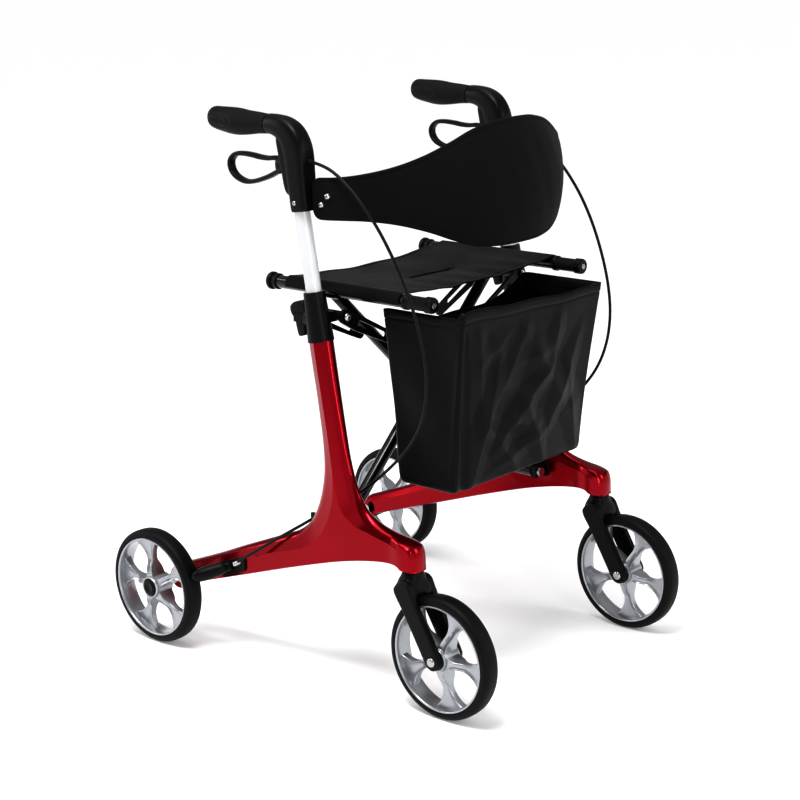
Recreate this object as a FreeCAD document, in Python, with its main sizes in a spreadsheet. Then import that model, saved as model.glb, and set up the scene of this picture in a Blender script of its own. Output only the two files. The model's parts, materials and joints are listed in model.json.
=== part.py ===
import FreeCAD, Part
import math
import os
import re

from FreeCAD import Placement, Rotation, Vector

# Folding four-wheeled rollator, millimetres.  +X is the walking direction, +Y is left, +Z is up.
# The origin is on the floor, in the middle of the wheelbase and of the width.

SIZES = {
    "wheel_radius": 100, "tyre_width": 32, "tyre_inner": 86, "rim_inner": 76, "rim_width": 30,
    "hub_radius": 20, "hub_width": 38, "spoke_width": 14, "spoke_depth": 18, "spoke_count": 5,
    "axle_x": 298, "axle_height": 100, "rear_track": 610, "front_track": 486, "axle_radius": 4,
    "bearing_radius": 11, "bearing_width": 7, "running_gap": 0.05,
    "side_plane": 243, "frame_thick": 32, "edge_round": 11,
    "post_x": 73, "post_height": 475, "post_lean": 8.6, "tube_radius": 12.5, "tube_wall": 2,
    "tube_low": 468, "tube_high": 818, "collar_low": 568, "collar_high": 645,
    "stem_x": 237, "stem_radius": 6, "socket_radius": 20, "socket_low": 224, "socket_high": 270,
    "handle_thick": 36, "grip_low": 38, "grip_back": 170, "grip_height": 901.5, "grip_bore": 10,
    "lever_pivot_x": -2, "lever_pivot_z": 838, "lever_thick": 12,
    "pivot_y": 205, "pivot_z": 259, "arm_radius": 10, "arm_wall": 2, "arm_a_x": 62, "arm_b_x": 30,
    "rail_y": 187.5, "rail_z": 637, "rail_radius": 10.5, "rail_back": 90, "rail_front": 230,
    "link_pivot_y": 215, "link_pivot_z": 605, "link_length": 125, "link_drop": 27,
    "cable_radius": 2.5, "band_thick": 6, "band_bow": 233, "band_half": 240.5,
    "band_low": 699, "band_high": 907, "seat_front": 185, "seat_back": 60, "seat_thick": 5,
    "bag_half": 178, "bag_low": 337, "bag_high": 620, "bag_wall": 2.5,
}

SIDES = (("right", -1), ("left", 1))
X_AXIS = Vector(1, 0, 0)
Y_AXIS = Vector(0, 1, 0)
Z_AXIS = Vector(0, 0, 1)

doc = FreeCAD.newDocument("rollator")
sheet = doc.addObject("Spreadsheet::Sheet", "sizes")
for row, (alias, value) in enumerate(SIZES.items(), 1):
    sheet.set("A%d" % row, alias)
    sheet.set("B%d" % row, str(value))
    sheet.setAlias("B%d" % row, alias)
doc.recompute()

pieces = []


def size(alias):
    return float(sheet.get(alias))


def bind(obj, **sizes):
    """Tie properties of an object to expressions in the sheet's aliases."""
    for prop, expression in sizes.items():
        obj.setExpression(prop, expression)
    return obj


def cell(text):
    """Turn the aliases in a short formula into references to the sheet."""
    return re.sub("[a-z_]+", lambda m: "sizes." + m[0] if m[0] in SIZES else m[0], text)


def piece(obj, label):
    """Name a finished sub-part; its label is also its file name."""
    obj.Label = label
    pieces.append(obj)
    return obj


def cylinder(name, radius, length, base, axis=Z_AXIS):
    obj = doc.addObject("Part::Cylinder", name)
    bind(obj, Radius=cell(radius), Height=cell(length))
    obj.Placement = Placement(base, Rotation(Z_AXIS, axis))
    return obj


def box(name, low, high):
    obj = doc.addObject("Part::Box", name)
    obj.Length = high[0] - low[0]
    obj.Width = high[1] - low[1]
    obj.Height = high[2] - low[2]
    obj.Placement = Placement(Vector(*low), Rotation())
    return obj


def fuse(name, *shapes):
    obj = doc.addObject("Part::MultiFuse", name)
    obj.Shapes = list(shapes)
    return obj


def cut(name, base, *tools):
    tool = tools[0] if len(tools) == 1 else fuse(name + "_tools", *tools)
    obj = doc.addObject("Part::Cut", name)
    obj.Base = base
    obj.Tool = tool
    return obj


def group(name, *shapes):
    """Several separate solids kept as one sub-part."""
    obj = doc.addObject("Part::Compound", name)
    obj.Links = list(shapes)
    return obj


def ring(name, outer, inner, length, base, axis):
    return cut(name, cylinder(name + "_out", outer, length, base, axis),
               cylinder(name + "_in", inner, length, base, axis))


def outline(points):
    """Closed outline from (x, y, radius) corners, each corner rounded by a tangent arc."""
    corners = []
    count = len(points)
    for i, (x, y, radius) in enumerate(points):
        here = Vector(x, y, 0)
        before = (Vector(*points[i - 1][:2], 0) - here).normalize()
        after = (Vector(*points[(i + 1) % count][:2], 0) - here).normalize()
        half = before.getAngle(after) / 2
        if radius == 0 or abs(math.pi / 2 - half) < 1e-3:
            corners.append((here, None, here))
            continue
        reach = radius / math.tan(half)
        middle = here + (before + after).normalize() * (radius / math.sin(half) - radius)
        corners.append((here + before * reach, middle, here + after * reach))
    edges = []
    for i, (start, middle, end) in enumerate(corners):
        if middle is not None:
            edges.append(Part.Arc(start, middle, end))
        following = corners[(i + 1) % count][0]
        if (following - end).Length > 1e-6:
            edges.append(Part.LineSegment(end, following))
    return edges


def circle(x, y, radius):
    return [Part.Circle(Vector(x, y, 0), Z_AXIS, radius)]


def new_body(name, base=Vector(), turn=Rotation()):
    body = doc.addObject("PartDesign::Body", name)
    body.Placement = Placement(base, turn)
    return body


def sketch(body, role, loops):
    """A sketch on one of the body's own origin planes."""
    plane = next(f for f in body.Origin.OriginFeatures if f.Role == role)
    obj = body.newObject("Sketcher::SketchObject", body.Name + "_sketch")
    obj.AttachmentSupport = (plane, [""])
    obj.MapMode = "FlatFace"
    for loop in loops:
        obj.addGeometry(loop, False)
    return obj


def pad(body, role, loops, length):
    profile = sketch(body, role, loops)
    obj = body.newObject("PartDesign::Pad", body.Name + "_pad")
    obj.Profile = profile
    obj.SideType = "Symmetric"
    bind(obj, Length=cell(length))
    doc.recompute()
    return obj


def pocket(body, role, loops, length):
    """A symmetric pocket; it must take material away."""
    before = body.Shape.Volume
    profile = sketch(body, role, loops)
    obj = body.newObject("PartDesign::Pocket", body.Name + "_pocket")
    obj.Profile = profile
    obj.SideType = "Symmetric"
    bind(obj, Length=cell(length))
    doc.recompute()
    if body.Shape.Volume >= before:
        raise RuntimeError(body.Name + ": pocket cut nothing")
    return obj


def revolve(body, role, loops, axis_name):
    profile = sketch(body, role, loops)
    obj = body.newObject("PartDesign::Revolution", body.Name + "_turned")
    obj.Profile = profile
    obj.ReferenceAxis = (profile, [axis_name])
    obj.Angle = 360
    doc.recompute()
    return obj


def pd_cylinder(body, kind, radius, length, base, axis):
    obj = body.newObject("PartDesign::" + kind, body.Name + "_" + kind)
    bind(obj, Radius=cell(radius), Height=cell(length))
    obj.Placement = Placement(base, Rotation(Z_AXIS, axis))
    doc.recompute()
    return obj


def round_edges(body, radius, wanted):
    """Fillet the edges of the body's tip that the test picks."""
    tip = body.Tip
    names = ["Edge%d" % (i + 1) for i, edge in enumerate(tip.Shape.Edges) if wanted(edge)]
    obj = body.newObject("PartDesign::Fillet", body.Name + "_fillet")
    obj.Base = (tip, names)
    bind(obj, Radius=cell(radius))
    doc.recompute()
    return obj


def on_faces(half, axis="y"):
    """Test for edges that lie in the two flat faces at +/- half of a symmetric pad."""
    def test(edge):
        low = getattr(edge.BoundBox, axis.upper() + "Min")
        high = getattr(edge.BoundBox, axis.upper() + "Max")
        return high - low < 1e-3 and abs(abs(low) - half) < 1e-3
    return test


# --- places worked out from the driving dimensions -------------------------------------------

side_y = size("side_plane")
lean = math.radians(size("post_lean"))
post_axis = Vector(-math.sin(lean), 0, math.cos(lean))
post_front = Vector(math.cos(lean), 0, math.sin(lean))
gap = size("running_gap")


def post_point(height, forward=0):
    """Point in the side plane on the leaning post's axis, or a distance in front of it."""
    x = size("post_x") - math.tan(lean) * (height - size("post_height"))
    return Vector(x, 0, height) + post_front * forward


def side_point(side, x, inward, z):
    """Point at a distance inward from the right or left side plane."""
    return Vector(x, side * (side_y - inward), z)


# --- side frames: rear arm, post and front arm in one casting ---------------------------------

def side_frame(word, side):
    half_post = 22.5
    top_back = post_point(size("collar_low"), -half_post)
    top_front = post_point(size("collar_low"), half_post)
    shape = [
        (-322, 80, 0), (-20, 183, 400), (110, 216, 150), (238, 229, 0), (244, 267, 0),
        (122, 303, 110), (top_front.x, top_front.z, 0), (top_back.x, top_back.z, 0),
        (80, 265, 200), (-322, 106, 0),
    ]
    body = new_body(word + "_frame", Vector(0, side * side_y, 0))
    pad(body, "XZ_Plane", [outline(shape)], "frame_thick")
    flat = on_faces(size("frame_thick") / 2)
    ends = {(-322, -322), (round(top_back.x), round(top_front.x)), (238, 244)}

    def long_edge(edge):
        b = edge.BoundBox
        return flat(edge) and (round(b.XMin), round(b.XMax)) not in ends

    round_edges(body, "edge_round", long_edge)
    half = size("frame_thick") / 2
    axle = Vector(-size("axle_x"), -half, size("axle_height"))
    pd_cylinder(body, "AdditiveCylinder", "20", "frame_thick", axle, Y_AXIS)
    socket = Vector(size("stem_x"), 0, size("socket_low"))
    pd_cylinder(body, "AdditiveCylinder", "socket_radius", "socket_high - socket_low", socket, Z_AXIS)
    pd_cylinder(body, "SubtractiveCylinder", "13", "socket_high - socket_low - 4", socket, Z_AXIS)
    pd_cylinder(body, "SubtractiveCylinder", "axle_radius + running_gap", "frame_thick + 2",
                axle - Y_AXIS, Y_AXIS)
    bore_low = post_point(size("tube_low") - 122)
    pd_cylinder(body, "SubtractiveCylinder", "tube_radius + running_gap", "260", bore_low, post_axis)
    return piece(body, word + "_side_frame")


# --- pivot brackets: cast saddles on the inner faces that carry the cross arms ----------------

def pivot_bracket(word, side):
    name = word + "_pivot_bracket"
    face = side_y - size("frame_thick") / 2
    low_y, high_y = sorted((side * (face - 5), side * face))
    plate = box(name + "_plate", (4, low_y, 247), (140, high_y, 271))
    low_y, high_y = sorted((side * (size("pivot_y") - 10), side * face))
    lugs = [box(name + "_lug%d" % i, (x, low_y, 249), (x + 9, high_y, 269))
            for i, x in enumerate((8, 128))]
    pin = Vector(0, side * size("pivot_y"), size("pivot_z"))
    hole = cylinder(name + "_hole", "5 + running_gap", "150", pin, X_AXIS)
    return piece(cut(name, fuse(name + "_solid", plate, *lugs), hole), name)


def pivot_bolt(word, side):
    name = word + "_pivot_bolt"
    start = Vector(3, side * size("pivot_y"), size("pivot_z"))
    shank = cylinder(name + "_shank", "5", "134", start, X_AXIS)
    head = cylinder(name + "_head", "8", "6", start + X_AXIS * 134, X_AXIS)
    nut = cylinder(name + "_nut", "8", "4.8", start, X_AXIS)
    return piece(fuse(name, shank, head, nut), name)


# --- collars and their height clamps ----------------------------------------------------------

def collar(word, side):
    name = word + "_collar"
    foot = post_point(size("collar_low")) + Vector(0, side * side_y, 0)
    cone = doc.addObject("Part::Cone", name + "_cone")
    bind(cone, Radius1=cell("tube_radius + 8.5"), Radius2=cell("tube_radius + 4.5"),
         Height=cell("( collar_high - collar_low ) / cos( post_lean )"))
    cone.Placement = Placement(foot, Rotation(Z_AXIS, post_axis))
    pivot = Vector(0, side * size("link_pivot_y"), size("link_pivot_z"))
    boss = cylinder(name + "_boss", "8", "66", pivot + X_AXIS * 14.5, X_AXIS)
    low_y, high_y = sorted((side * (size("link_pivot_y") - 1), side * (side_y - 14)))
    web = box(name + "_web", (36, low_y, 597), (70, high_y, 613))
    ears = []
    for i, offset in enumerate((-10.5, 6)):
        y = side * side_y + offset
        ears.append(box(name + "_ear%d" % i, (10, y, 595), (44, y + 4.5, 609)))
    clamp_pin = cylinder(name + "_pin", "2.5", "20", Vector(16, side * side_y - 10, 601), Y_AXIS)
    bore = cylinder(name + "_bore", "tube_radius + running_gap", "140",
                    post_point(540) + Vector(0, side * side_y, 0), post_axis)
    link_hole = cylinder(name + "_hole", "axle_radius + running_gap", "80", pivot + X_AXIS * 8, X_AXIS)
    solid = fuse(name + "_solid", cone, boss, web, clamp_pin, *ears)
    return piece(cut(name, solid, bore, link_hole), name)


def clamp_lever(word, side):
    body = new_body(word + "_clamp", Vector(0, side * side_y, 0))
    shape = [(-4, 612, 2), (2, 622, 2), (22, 608, 6), (32.5, 576, 2), (20, 570, 3), (8, 596, 8)]
    pad(body, "XZ_Plane", [outline(shape), circle(16, 601, 2.6)], "11")
    return piece(body, word + "_clamp_lever")


# --- telescopic posts, handles, grips and brake levers -----------------------------------------

def post_tube(word, side):
    name = word + "_post_tube"
    low = post_point(size("tube_low")) + Vector(0, side * side_y, 0)
    length = "( tube_high - tube_low ) / cos( post_lean )"
    return piece(ring(name, "tube_radius", "tube_radius - tube_wall", length, low, post_axis), name)


def handle(word, side):
    body = new_body(word + "_handle", Vector(0, side * side_y, 0))
    shape = [(9, 769, 3), (48, 774, 3), (48, 875, 30), (36, 917, 26), (-38, 917, 0),
             (-38, 886, 0), (-17, 884, 14), (-10, 800, 40), (9, 786, 8)]
    pad(body, "XZ_Plane", [outline(shape)], "handle_thick")
    flat = on_faces(size("handle_thick") / 2)
    round_edges(body, "9", lambda e: flat(e) and abs(e.BoundBox.XMax + 38) > 0.1)
    core = Vector(-30, 0, size("grip_height"))
    pd_cylinder(body, "AdditiveCylinder", "grip_bore", "grip_back - 36", core, -X_AXIS)
    pd_cylinder(body, "SubtractiveCylinder", "tube_radius", "( tube_high - 760 ) / cos( post_lean )",
                post_point(760), post_axis)
    pocket(body, "XZ_Plane", [outline([(-26, 820, 0), (11, 820, 0), (11, 858, 0), (-26, 858, 0)])],
           "lever_thick + 1")
    return piece(body, word + "_handle")


def handle_screws(word, side):
    """Two band screws with their backing lug, the lever's pin and the housing bolt."""
    name = word + "_handle_screws"
    y_out = side * (size("band_half") + 5.5)
    screws = []
    for i, (x, z) in enumerate(((64, 796), (56, 779))):
        head = cylinder(name + "_head%d" % i, "4.5", "2.4", Vector(x, y_out, z), Y_AXIS * -side)
        screws.append(head)
    low_y, high_y = sorted((side * (side_y - 12), side * (side_y - 8)))
    lug = box(name + "_lug", (48.1, low_y, 768), (78, high_y, 808))
    pin_start = side_point(side, size("lever_pivot_x"), 6.45, size("lever_pivot_z"))
    pin = cylinder(name + "_pin", "2.5", "12.9", pin_start, Y_AXIS * side)
    return piece(group(name, lug, pin, *screws), name)


def grip(word, side):
    body = new_body(word + "_grip", Vector(-size("grip_low"), side * side_y, size("grip_height")))
    bore = size("grip_bore") + gap
    back = size("grip_low") - size("grip_back")
    profile = [(-0.3, bore, 0), (-0.3, 15.5, 2), (-55, 18.6, 60), (back + 20, 18, 30), (back, 15, 6),
               (back, 0, 0), (back + 5, 0, 0), (back + 5, bore, 0)]
    revolve(body, "XZ_Plane", [outline(profile)], "H_Axis")
    return piece(body, word + "_grip")


def brake_lever(word, side):
    body = new_body(word + "_lever", Vector(0, side * side_y, 0))
    outer = [(-133, 838, 9), (-106, 854, 10), (-57, 849, 120), (-22, 852, 20), (6, 850, 10),
             (6, 828, 8), (-20, 822, 20), (-60, 809, 60), (-98, 801, 14), (-128, 818, 12)]
    inner = [(-123, 837, 5), (-101, 846, 8), (-58, 841, 100), (-32, 842, 6), (-30, 830, 6),
             (-62, 817, 50), (-95, 810, 10), (-119, 823, 8)]
    loops = [outline(outer), outline(inner), circle(size("lever_pivot_x"), size("lever_pivot_z"), 2.6)]
    pad(body, "XZ_Plane", loops, "lever_thick")
    return piece(body, word + "_brake_lever")


# --- wheels ---------------------------------------------------------------------------------

def wheel(word, side, x, y):
    """Tyre, spoked rim, two bearings; all turn on one axle along Y."""
    centre = Vector(x, side * y, size("axle_height"))
    half = size("tyre_width") / 2
    tyre = new_body(word + "_tyre", centre)
    low, high = size("tyre_inner"), size("wheel_radius")
    revolve(tyre, "YZ_Plane", [outline([(-half, low, 0), (half, low, 0), (half, high, 9), (-half, high, 9)])],
            "H_Axis")
    piece(tyre, word + "_tyre")
    rim = new_body(word + "_rim", centre)
    half = size("rim_width") / 2
    low, high = size("rim_inner"), size("tyre_inner")
    revolve(rim, "YZ_Plane", [outline([(-half, low, 0), (half, low, 0), (half, high, 0), (-half, high, 0)])],
            "H_Axis")
    narrow, wide = size("spoke_width") / 2, size("spoke_width")
    spoke = pad(rim, "XZ_Plane", [outline([(-narrow, 14, 0), (narrow, 14, 0), (wide, 77, 0), (-wide, 77, 0)])],
                "spoke_depth")
    pattern = rim.newObject("PartDesign::PolarPattern", word + "_spokes")
    pattern.Originals = [spoke]
    pattern.Axis = (spoke.Profile[0], ["N_Axis"])
    pattern.Angle = 360
    bind(pattern, Occurrences=cell("spoke_count"))
    rim.Tip = pattern
    doc.recompute()
    half = size("hub_width") / 2
    low, high = size("bearing_radius"), size("hub_radius")
    revolve(rim, "YZ_Plane", [outline([(-half, low, 0), (half, low, 0), (half, high, 3), (-half, high, 3)])],
            "H_Axis")
    hole = pd_cylinder(rim, "SubtractiveCylinder", "bearing_radius", "hub_width",
                       Vector(0, -half, 0), Y_AXIS)
    rim.Tip = hole
    piece(rim, word + "_rim")
    width = size("bearing_width")
    rings = []
    for i, offset in enumerate((-half + 1, half - 1 - width)):
        rings.append(ring("%s_bearing%d" % (word, i), "bearing_radius", "axle_radius + running_gap",
                          "bearing_width", centre + Y_AXIS * offset, Y_AXIS))
    piece(group(word + "_bearings", *rings), word + "_bearings")
    return centre


def rear_axle(word, side):
    """Axle bolt with head inside the casting, spacer and locknut under the hub cap."""
    name = word + "_rear_axle"
    inner = side_y - size("frame_thick") / 2
    outer = size("rear_track") / 2 + size("hub_width") / 2
    start = Vector(-size("axle_x"), side * (inner - 5), size("axle_height"))
    out = Y_AXIS * side
    shank = cylinder(name + "_shank", "axle_radius", "%g" % (outer - inner + 5), start, out)
    head = cylinder(name + "_head", "7.5", "5", start, out)
    face = side_y + size("frame_thick") / 2
    spacer_length = size("rear_track") / 2 - size("hub_width") / 2 - face
    spacer = cylinder(name + "_spacer", "8", "%g" % (spacer_length - 0.2), start + out * (face - inner + 5),
                      out)
    return piece(fuse(name, shank, head, spacer), name)


def hub_cap(word, side):
    name = word + "_hub_cap"
    face = side * (size("rear_track") / 2 + size("hub_width") / 2)
    base = Vector(-size("axle_x"), face, size("axle_height"))
    disc = cylinder(name + "_disc", "15", "3.5", base, Y_AXIS * side)
    return piece(disc, name)


def front_axle(word, side):
    """Axle bolt across the fork: shank, domed head outside and nut inside."""
    name = word + "_front_axle"
    half = 28
    start = Vector(size("axle_x"), side * side_y - half, size("axle_height"))
    shank = cylinder(name + "_shank", "axle_radius", "%g" % (2 * half), start, Y_AXIS)
    ends = [cylinder(name + "_end%d" % i, "7", "3", start + Y_AXIS * offset, Y_AXIS)
            for i, offset in enumerate((-3, 2 * half))]
    return piece(fuse(name, shank, *ends), name)


def caster_fork(word, side):
    """Stem, crown and two legs that reach forward to the axle."""
    y = side * side_y
    stem_x, axle_x = size("stem_x"), size("axle_x")
    leg_shape = [(stem_x - 20, 222, 6), (stem_x + 21, 222, 6), (stem_x + 27, 196, 30),
                 (axle_x + 12, 104, 8), (axle_x, 87, 12), (axle_x - 14, 98, 8),
                 (stem_x - 18, 190, 30)]
    legs = []
    for i, offset in enumerate((-24.5, 24.5)):
        body = new_body("%s_leg%d" % (word, i), Vector(0, y + offset, 0))
        hole = circle(axle_x, size("axle_height"), size("axle_radius"))
        pad(body, "XZ_Plane", [outline(leg_shape), hole], "7")
        legs.append(body)
    crown = box(word + "_crown", (stem_x - 19, y - 26, 205), (stem_x + 19, y + 26, 221.5))
    foot = Vector(stem_x, y, 215)
    stem = cylinder(word + "_stem", "stem_radius", "socket_high - 223", foot, Z_AXIS)
    dust = cylinder(word + "_dust", "socket_radius - 1", "8", foot, Z_AXIS)
    return piece(fuse(word + "_caster_fork", crown, stem, dust, *legs), word + "_caster_fork")


def stem_bearings(word, side):
    y = side * side_y
    rings = []
    for i, z in enumerate((size("socket_low") + 2, size("socket_high") - 18)):
        rings.append(ring("%s_stem_ring%d" % (word, i), "13", "stem_radius + running_gap", "8",
                          Vector(size("stem_x"), y, z), Z_AXIS))
    return piece(group(word + "_stem_bearings", *rings), word + "_stem_bearings")


# --- rear brakes ----------------------------------------------------------------------------

SHOE_PIVOT = (-186, 122)


def brake_body(word, side):
    face = side_y + size("frame_thick") / 2
    body = new_body(word + "_brake", Vector(0, side * (face + 13.5), 0))
    shape = [(-246, 112, 5), (-246, 127, 6), (-215, 145, 20), (-148, 172, 20), (-122, 181, 4),
             (-113, 163, 4), (-150, 146, 20), (-176, 114, 8), (-196, 112, 8), (-215, 118, 10)]
    hole = circle(SHOE_PIVOT[0], SHOE_PIVOT[1], 3 - 0.05)
    pad(body, "XZ_Plane", [outline(shape), hole], "26.9")
    round_edges(body, "3", on_faces(13.45))
    return piece(body, word + "_brake_body")


def brake_shoe(word, side):
    """Shoe in front of the tyre on an arm that turns about a pin in the brake body."""
    name = word + "_brake_shoe"
    out = Y_AXIS * side
    inner = side_y + size("frame_thick") / 2 + 27.6
    angle = math.radians(27)
    radial = Vector(math.cos(angle), 0, math.sin(angle))
    centre = Vector(-size("axle_x"), 0, size("axle_height")) + radial * (size("wheel_radius") + 2.8)
    block = doc.addObject("Part::Box", name + "_block")
    block.Length = 9
    block.Width = 31
    block.Height = 26
    turn = Rotation(Y_AXIS, -27)
    corner = centre - turn.multVec(Vector(0, 0, 13))
    low_y = min(side * (inner + 3), side * (inner + 34))
    block.Placement = Placement(Vector(corner.x, low_y, corner.z), turn)
    pivot = Vector(SHOE_PIVOT[0], side * inner, SHOE_PIVOT[1])
    arm = doc.addObject("Part::Box", name + "_arm")
    arm.Length = 9
    arm.Width = 31
    arm.Height = 34
    arm_turn = Rotation(Y_AXIS, -27)
    arm_corner = Vector(SHOE_PIVOT[0], 0, SHOE_PIVOT[1]) - arm_turn.multVec(Vector(3, 0, 5))
    arm.Placement = Placement(Vector(arm_corner.x, low_y, arm_corner.z), arm_turn)
    pin = cylinder(name + "_pin", "2.9", "52", pivot - out * 18, out)
    return piece(fuse(name, block, arm, pin), name)


# --- folding frame: two crossed arms, seat rails, support links --------------------------------

arm_span = Vector(0, size("pivot_y") + size("rail_y"), size("rail_z") - size("pivot_z"))
arm_way = Vector(arm_span).normalize()
cross_z = size("pivot_z") + arm_span.z * size("pivot_y") / arm_span.y


def cross_arm(name, x, lower_side):
    """Tube from the sleeve on the lower bolt, past the centre pivot, to the opposite rail."""
    way = Vector(0, -lower_side * arm_way.y, arm_way.z)
    foot = Vector(x, lower_side * size("pivot_y"), size("pivot_z"))
    length = arm_span.Length
    tube = cylinder(name + "_tube", "arm_radius", "%g" % (length - 13), foot, way)
    inside = cylinder(name + "_inside", "arm_radius - arm_wall", "%g" % (length - 50), foot + way * 12, way)
    sleeve_foot = Vector(19, foot.y, foot.z)
    sleeve = cylinder(name + "_sleeve", "11", "106", sleeve_foot, X_AXIS)
    centre = Vector(x, 0, cross_z)
    boss = cylinder(name + "_boss", "13", "25.6", centre - X_AXIS * 12.8, X_AXIS)
    rail = Vector(-size("rail_back"), -lower_side * size("rail_y"), size("rail_z"))
    bore = cylinder(name + "_bore", "5 + running_gap", "112", sleeve_foot - X_AXIS * 3, X_AXIS)
    hole = cylinder(name + "_hole", "axle_radius + running_gap", "40", centre - X_AXIS * 20, X_AXIS)
    seat = cylinder(name + "_seat", "rail_radius", "rail_front + rail_back", rail, X_AXIS)
    saddle = cylinder(name + "_saddle", "14", "44", Vector(x - 22, rail.y, rail.z), X_AXIS)
    under = box(name + "_under", (x - 23, rail.y - 15, rail.z), (x + 23, rail.y + 15, rail.z + 15))
    saddle_low = cut(name + "_saddle_low", saddle, under)
    hollow = cut(name + "_hollow", tube, inside)
    solid = fuse(name + "_solid", hollow, sleeve, boss, saddle_low)
    return piece(cut(name, solid, bore, hole, seat), name)


def centre_pivot():
    name = "centre_pivot_bolt"
    start = Vector(size("arm_b_x") - 19, 0, cross_z)
    length = size("arm_a_x") - size("arm_b_x") + 38
    shank = cylinder(name + "_shank", "axle_radius", "%g" % length, start, X_AXIS)
    head = cylinder(name + "_head", "7.5", "5", start + X_AXIS * (length - 5), X_AXIS)
    nut = cylinder(name + "_nut", "7", "5.6", start, X_AXIS)
    return piece(fuse(name, shank, head, nut), name)


def seat_rail(word, side):
    name = word + "_seat_rail"
    start = Vector(-size("rail_back"), side * size("rail_y"), size("rail_z"))
    return piece(ring(name, "rail_radius", "rail_radius - 2", "rail_front + rail_back", start, X_AXIS),
                 name)


def rail_caps(word, side):
    """Rear end cap, stop ring and front sleeve with its plug: separate mouldings on one rail."""
    name = word + "_rail_caps"
    line = Vector(0, side * size("rail_y"), size("rail_z"))
    back = size("rail_back")
    cap = cylinder(name + "_cap", "rail_radius + 1", "16", line - X_AXIS * (back + 16), X_AXIS)
    stop = ring(name + "_stop", "15.5", "rail_radius", "8", line - X_AXIS * 79, X_AXIS)
    sleeve = ring(name + "_sleeve", "13", "rail_radius", "45", line + X_AXIS * 188, X_AXIS)
    plug = cylinder(name + "_plug", "13", "13", line + X_AXIS * 233, X_AXIS)
    front = fuse(name + "_front", sleeve, plug)
    return piece(group(name, cap, stop, front), name)


def support_link(word, side):
    """Two slotted plates on one bolt through the collar's boss; the left pair stands wider, to pass the right."""
    name = word + "_support_link"
    length = size("link_length")
    turn = Rotation(X_AXIS, size("link_drop") if side < 0 else -size("link_drop"))
    turn = turn.inverted()
    pivot = Vector(0, side * size("link_pivot_y"), size("link_pivot_z"))
    plates = []
    out = 0 if side < 0 else 7
    for i, x in enumerate((10 - out, 85 + out)):
        body = new_body("%s_link%d" % (word, i), pivot + X_AXIS * x, turn)
        s = -side
        shape = [(-s * 11, -11, 10), (s * 30, -14, 30), (s * (length + 8), -9, 8),
                 (s * (length + 8), 9, 8), (s * 30, 12, 30), (-s * 11, 11, 10)]
        slot = [(s * 30, -4.5, 4.4), (s * (length - 22), -4.5, 4.4), (s * (length - 22), 4.5, 4.4),
                (s * 30, 4.5, 4.4)]
        if s < 0:
            shape.reverse()
            slot.reverse()
        pad(body, "YZ_Plane", [outline(shape), outline(slot)], "5")
        plates.append(body)
    bolt = cylinder(name + "_bolt", "axle_radius", "%d" % (89 + 2 * out), pivot + X_AXIS * (3 - out), X_AXIS)
    head = cylinder(name + "_head", "7", "4", pivot + X_AXIS * (87.4 + out), X_AXIS)
    return piece(fuse(name, bolt, head, *plates), name)


# --- brake cables -----------------------------------------------------------------------------

CABLE_ROUTE = [
    (48.6, 0, 848), (78, 0, 844), (110, -2, 831), (143, -3, 808), (172, -3, 779), (200, -2, 743),
    (225, 0, 700), (246, 3, 652), (262, 6, 601), (269, 9, 550), (264, 13, 500), (247, 18, 455),
    (216, 23, 415), (181, 26, 382), (143, 26, 349), (104, 25, 319), (66, 24, 297), (30, 18, 284),
    (-2, 4, 272), (-32, -14, 250), (-62, -27, 222), (-90, -34, 195), (-118, -37, 174.5),
]


def cable_path(points):
    """Straight runs joined by tangent arcs; returns the wire and its smallest radius."""
    arcs = []
    for before, here, after in zip(points, points[1:], points[2:]):
        back, on = before - here, after - here
        shorter = min(back.Length, on.Length)
        half = back.getAngle(on) / 2
        reach = 0.45 * shorter
        radius = reach * math.tan(half)
        back.normalize()
        on.normalize()
        middle = here + (back + on).normalize() * (radius / math.sin(half) - radius)
        arcs.append((here + back * reach, middle, here + on * reach, radius))
    edges = []
    last = points[0]
    for start, middle, end, _ in arcs:
        edges.append(Part.LineSegment(last, start).toShape())
        edges.append(Part.Arc(start, middle, end).toShape())
        last = end
    edges.append(Part.LineSegment(last, points[-1]).toShape())
    return Part.Wire(edges), min(a[3] for a in arcs)


def brake_cable(word, side):
    points = [side_point(side, x, inward, z) for x, inward, z in CABLE_ROUTE]
    path, tightest = cable_path(points)
    radius = size("cable_radius")
    start = points[1] - points[0]
    profile = Part.Wire([Part.Circle(points[0], start, radius).toShape()])
    tube = path.makePipeShell([profile], True, False)
    expected = math.pi * radius ** 2 * path.Length
    print("%s cable: length %.1f, smallest radius %.1f, volume %.0f against %.0f"
          % (word, path.Length, tightest, tube.Volume, expected))
    obj = doc.addObject("Part::Feature", word + "_cable")
    obj.Shape = tube
    return piece(obj, word + "_brake_cable")


# --- soft parts -------------------------------------------------------------------------------

def arc_band(name, depth, half, z_low, z_high):
    """Elliptic half disc in plan, bowed forward from the handles, as a tall prism."""
    steps = 18
    thick = size("band_thick") / 2
    foot = 50

    def curve(grow):
        points = []
        for i in range(steps + 1):
            angle = math.pi * (i / steps - 0.5)
            points.append(Vector(foot + (depth + grow) * math.cos(angle),
                                 (half + grow) * math.sin(angle), z_low))
        spline = Part.BSplineCurve()
        spline.interpolate(points)
        return spline.toShape(), points

    outer, far = curve(thick)
    inner, near = curve(-thick)
    ends = [Part.LineSegment(far[0], near[0]).toShape(), Part.LineSegment(near[-1], far[-1]).toShape()]
    face = Part.Face(Part.Wire(Part.__sortEdges__([outer, ends[1], inner, ends[0]])))
    obj = doc.addObject("Part::Feature", name)
    obj.Shape = face.extrude(Vector(0, 0, z_high - z_low))
    return obj


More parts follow.
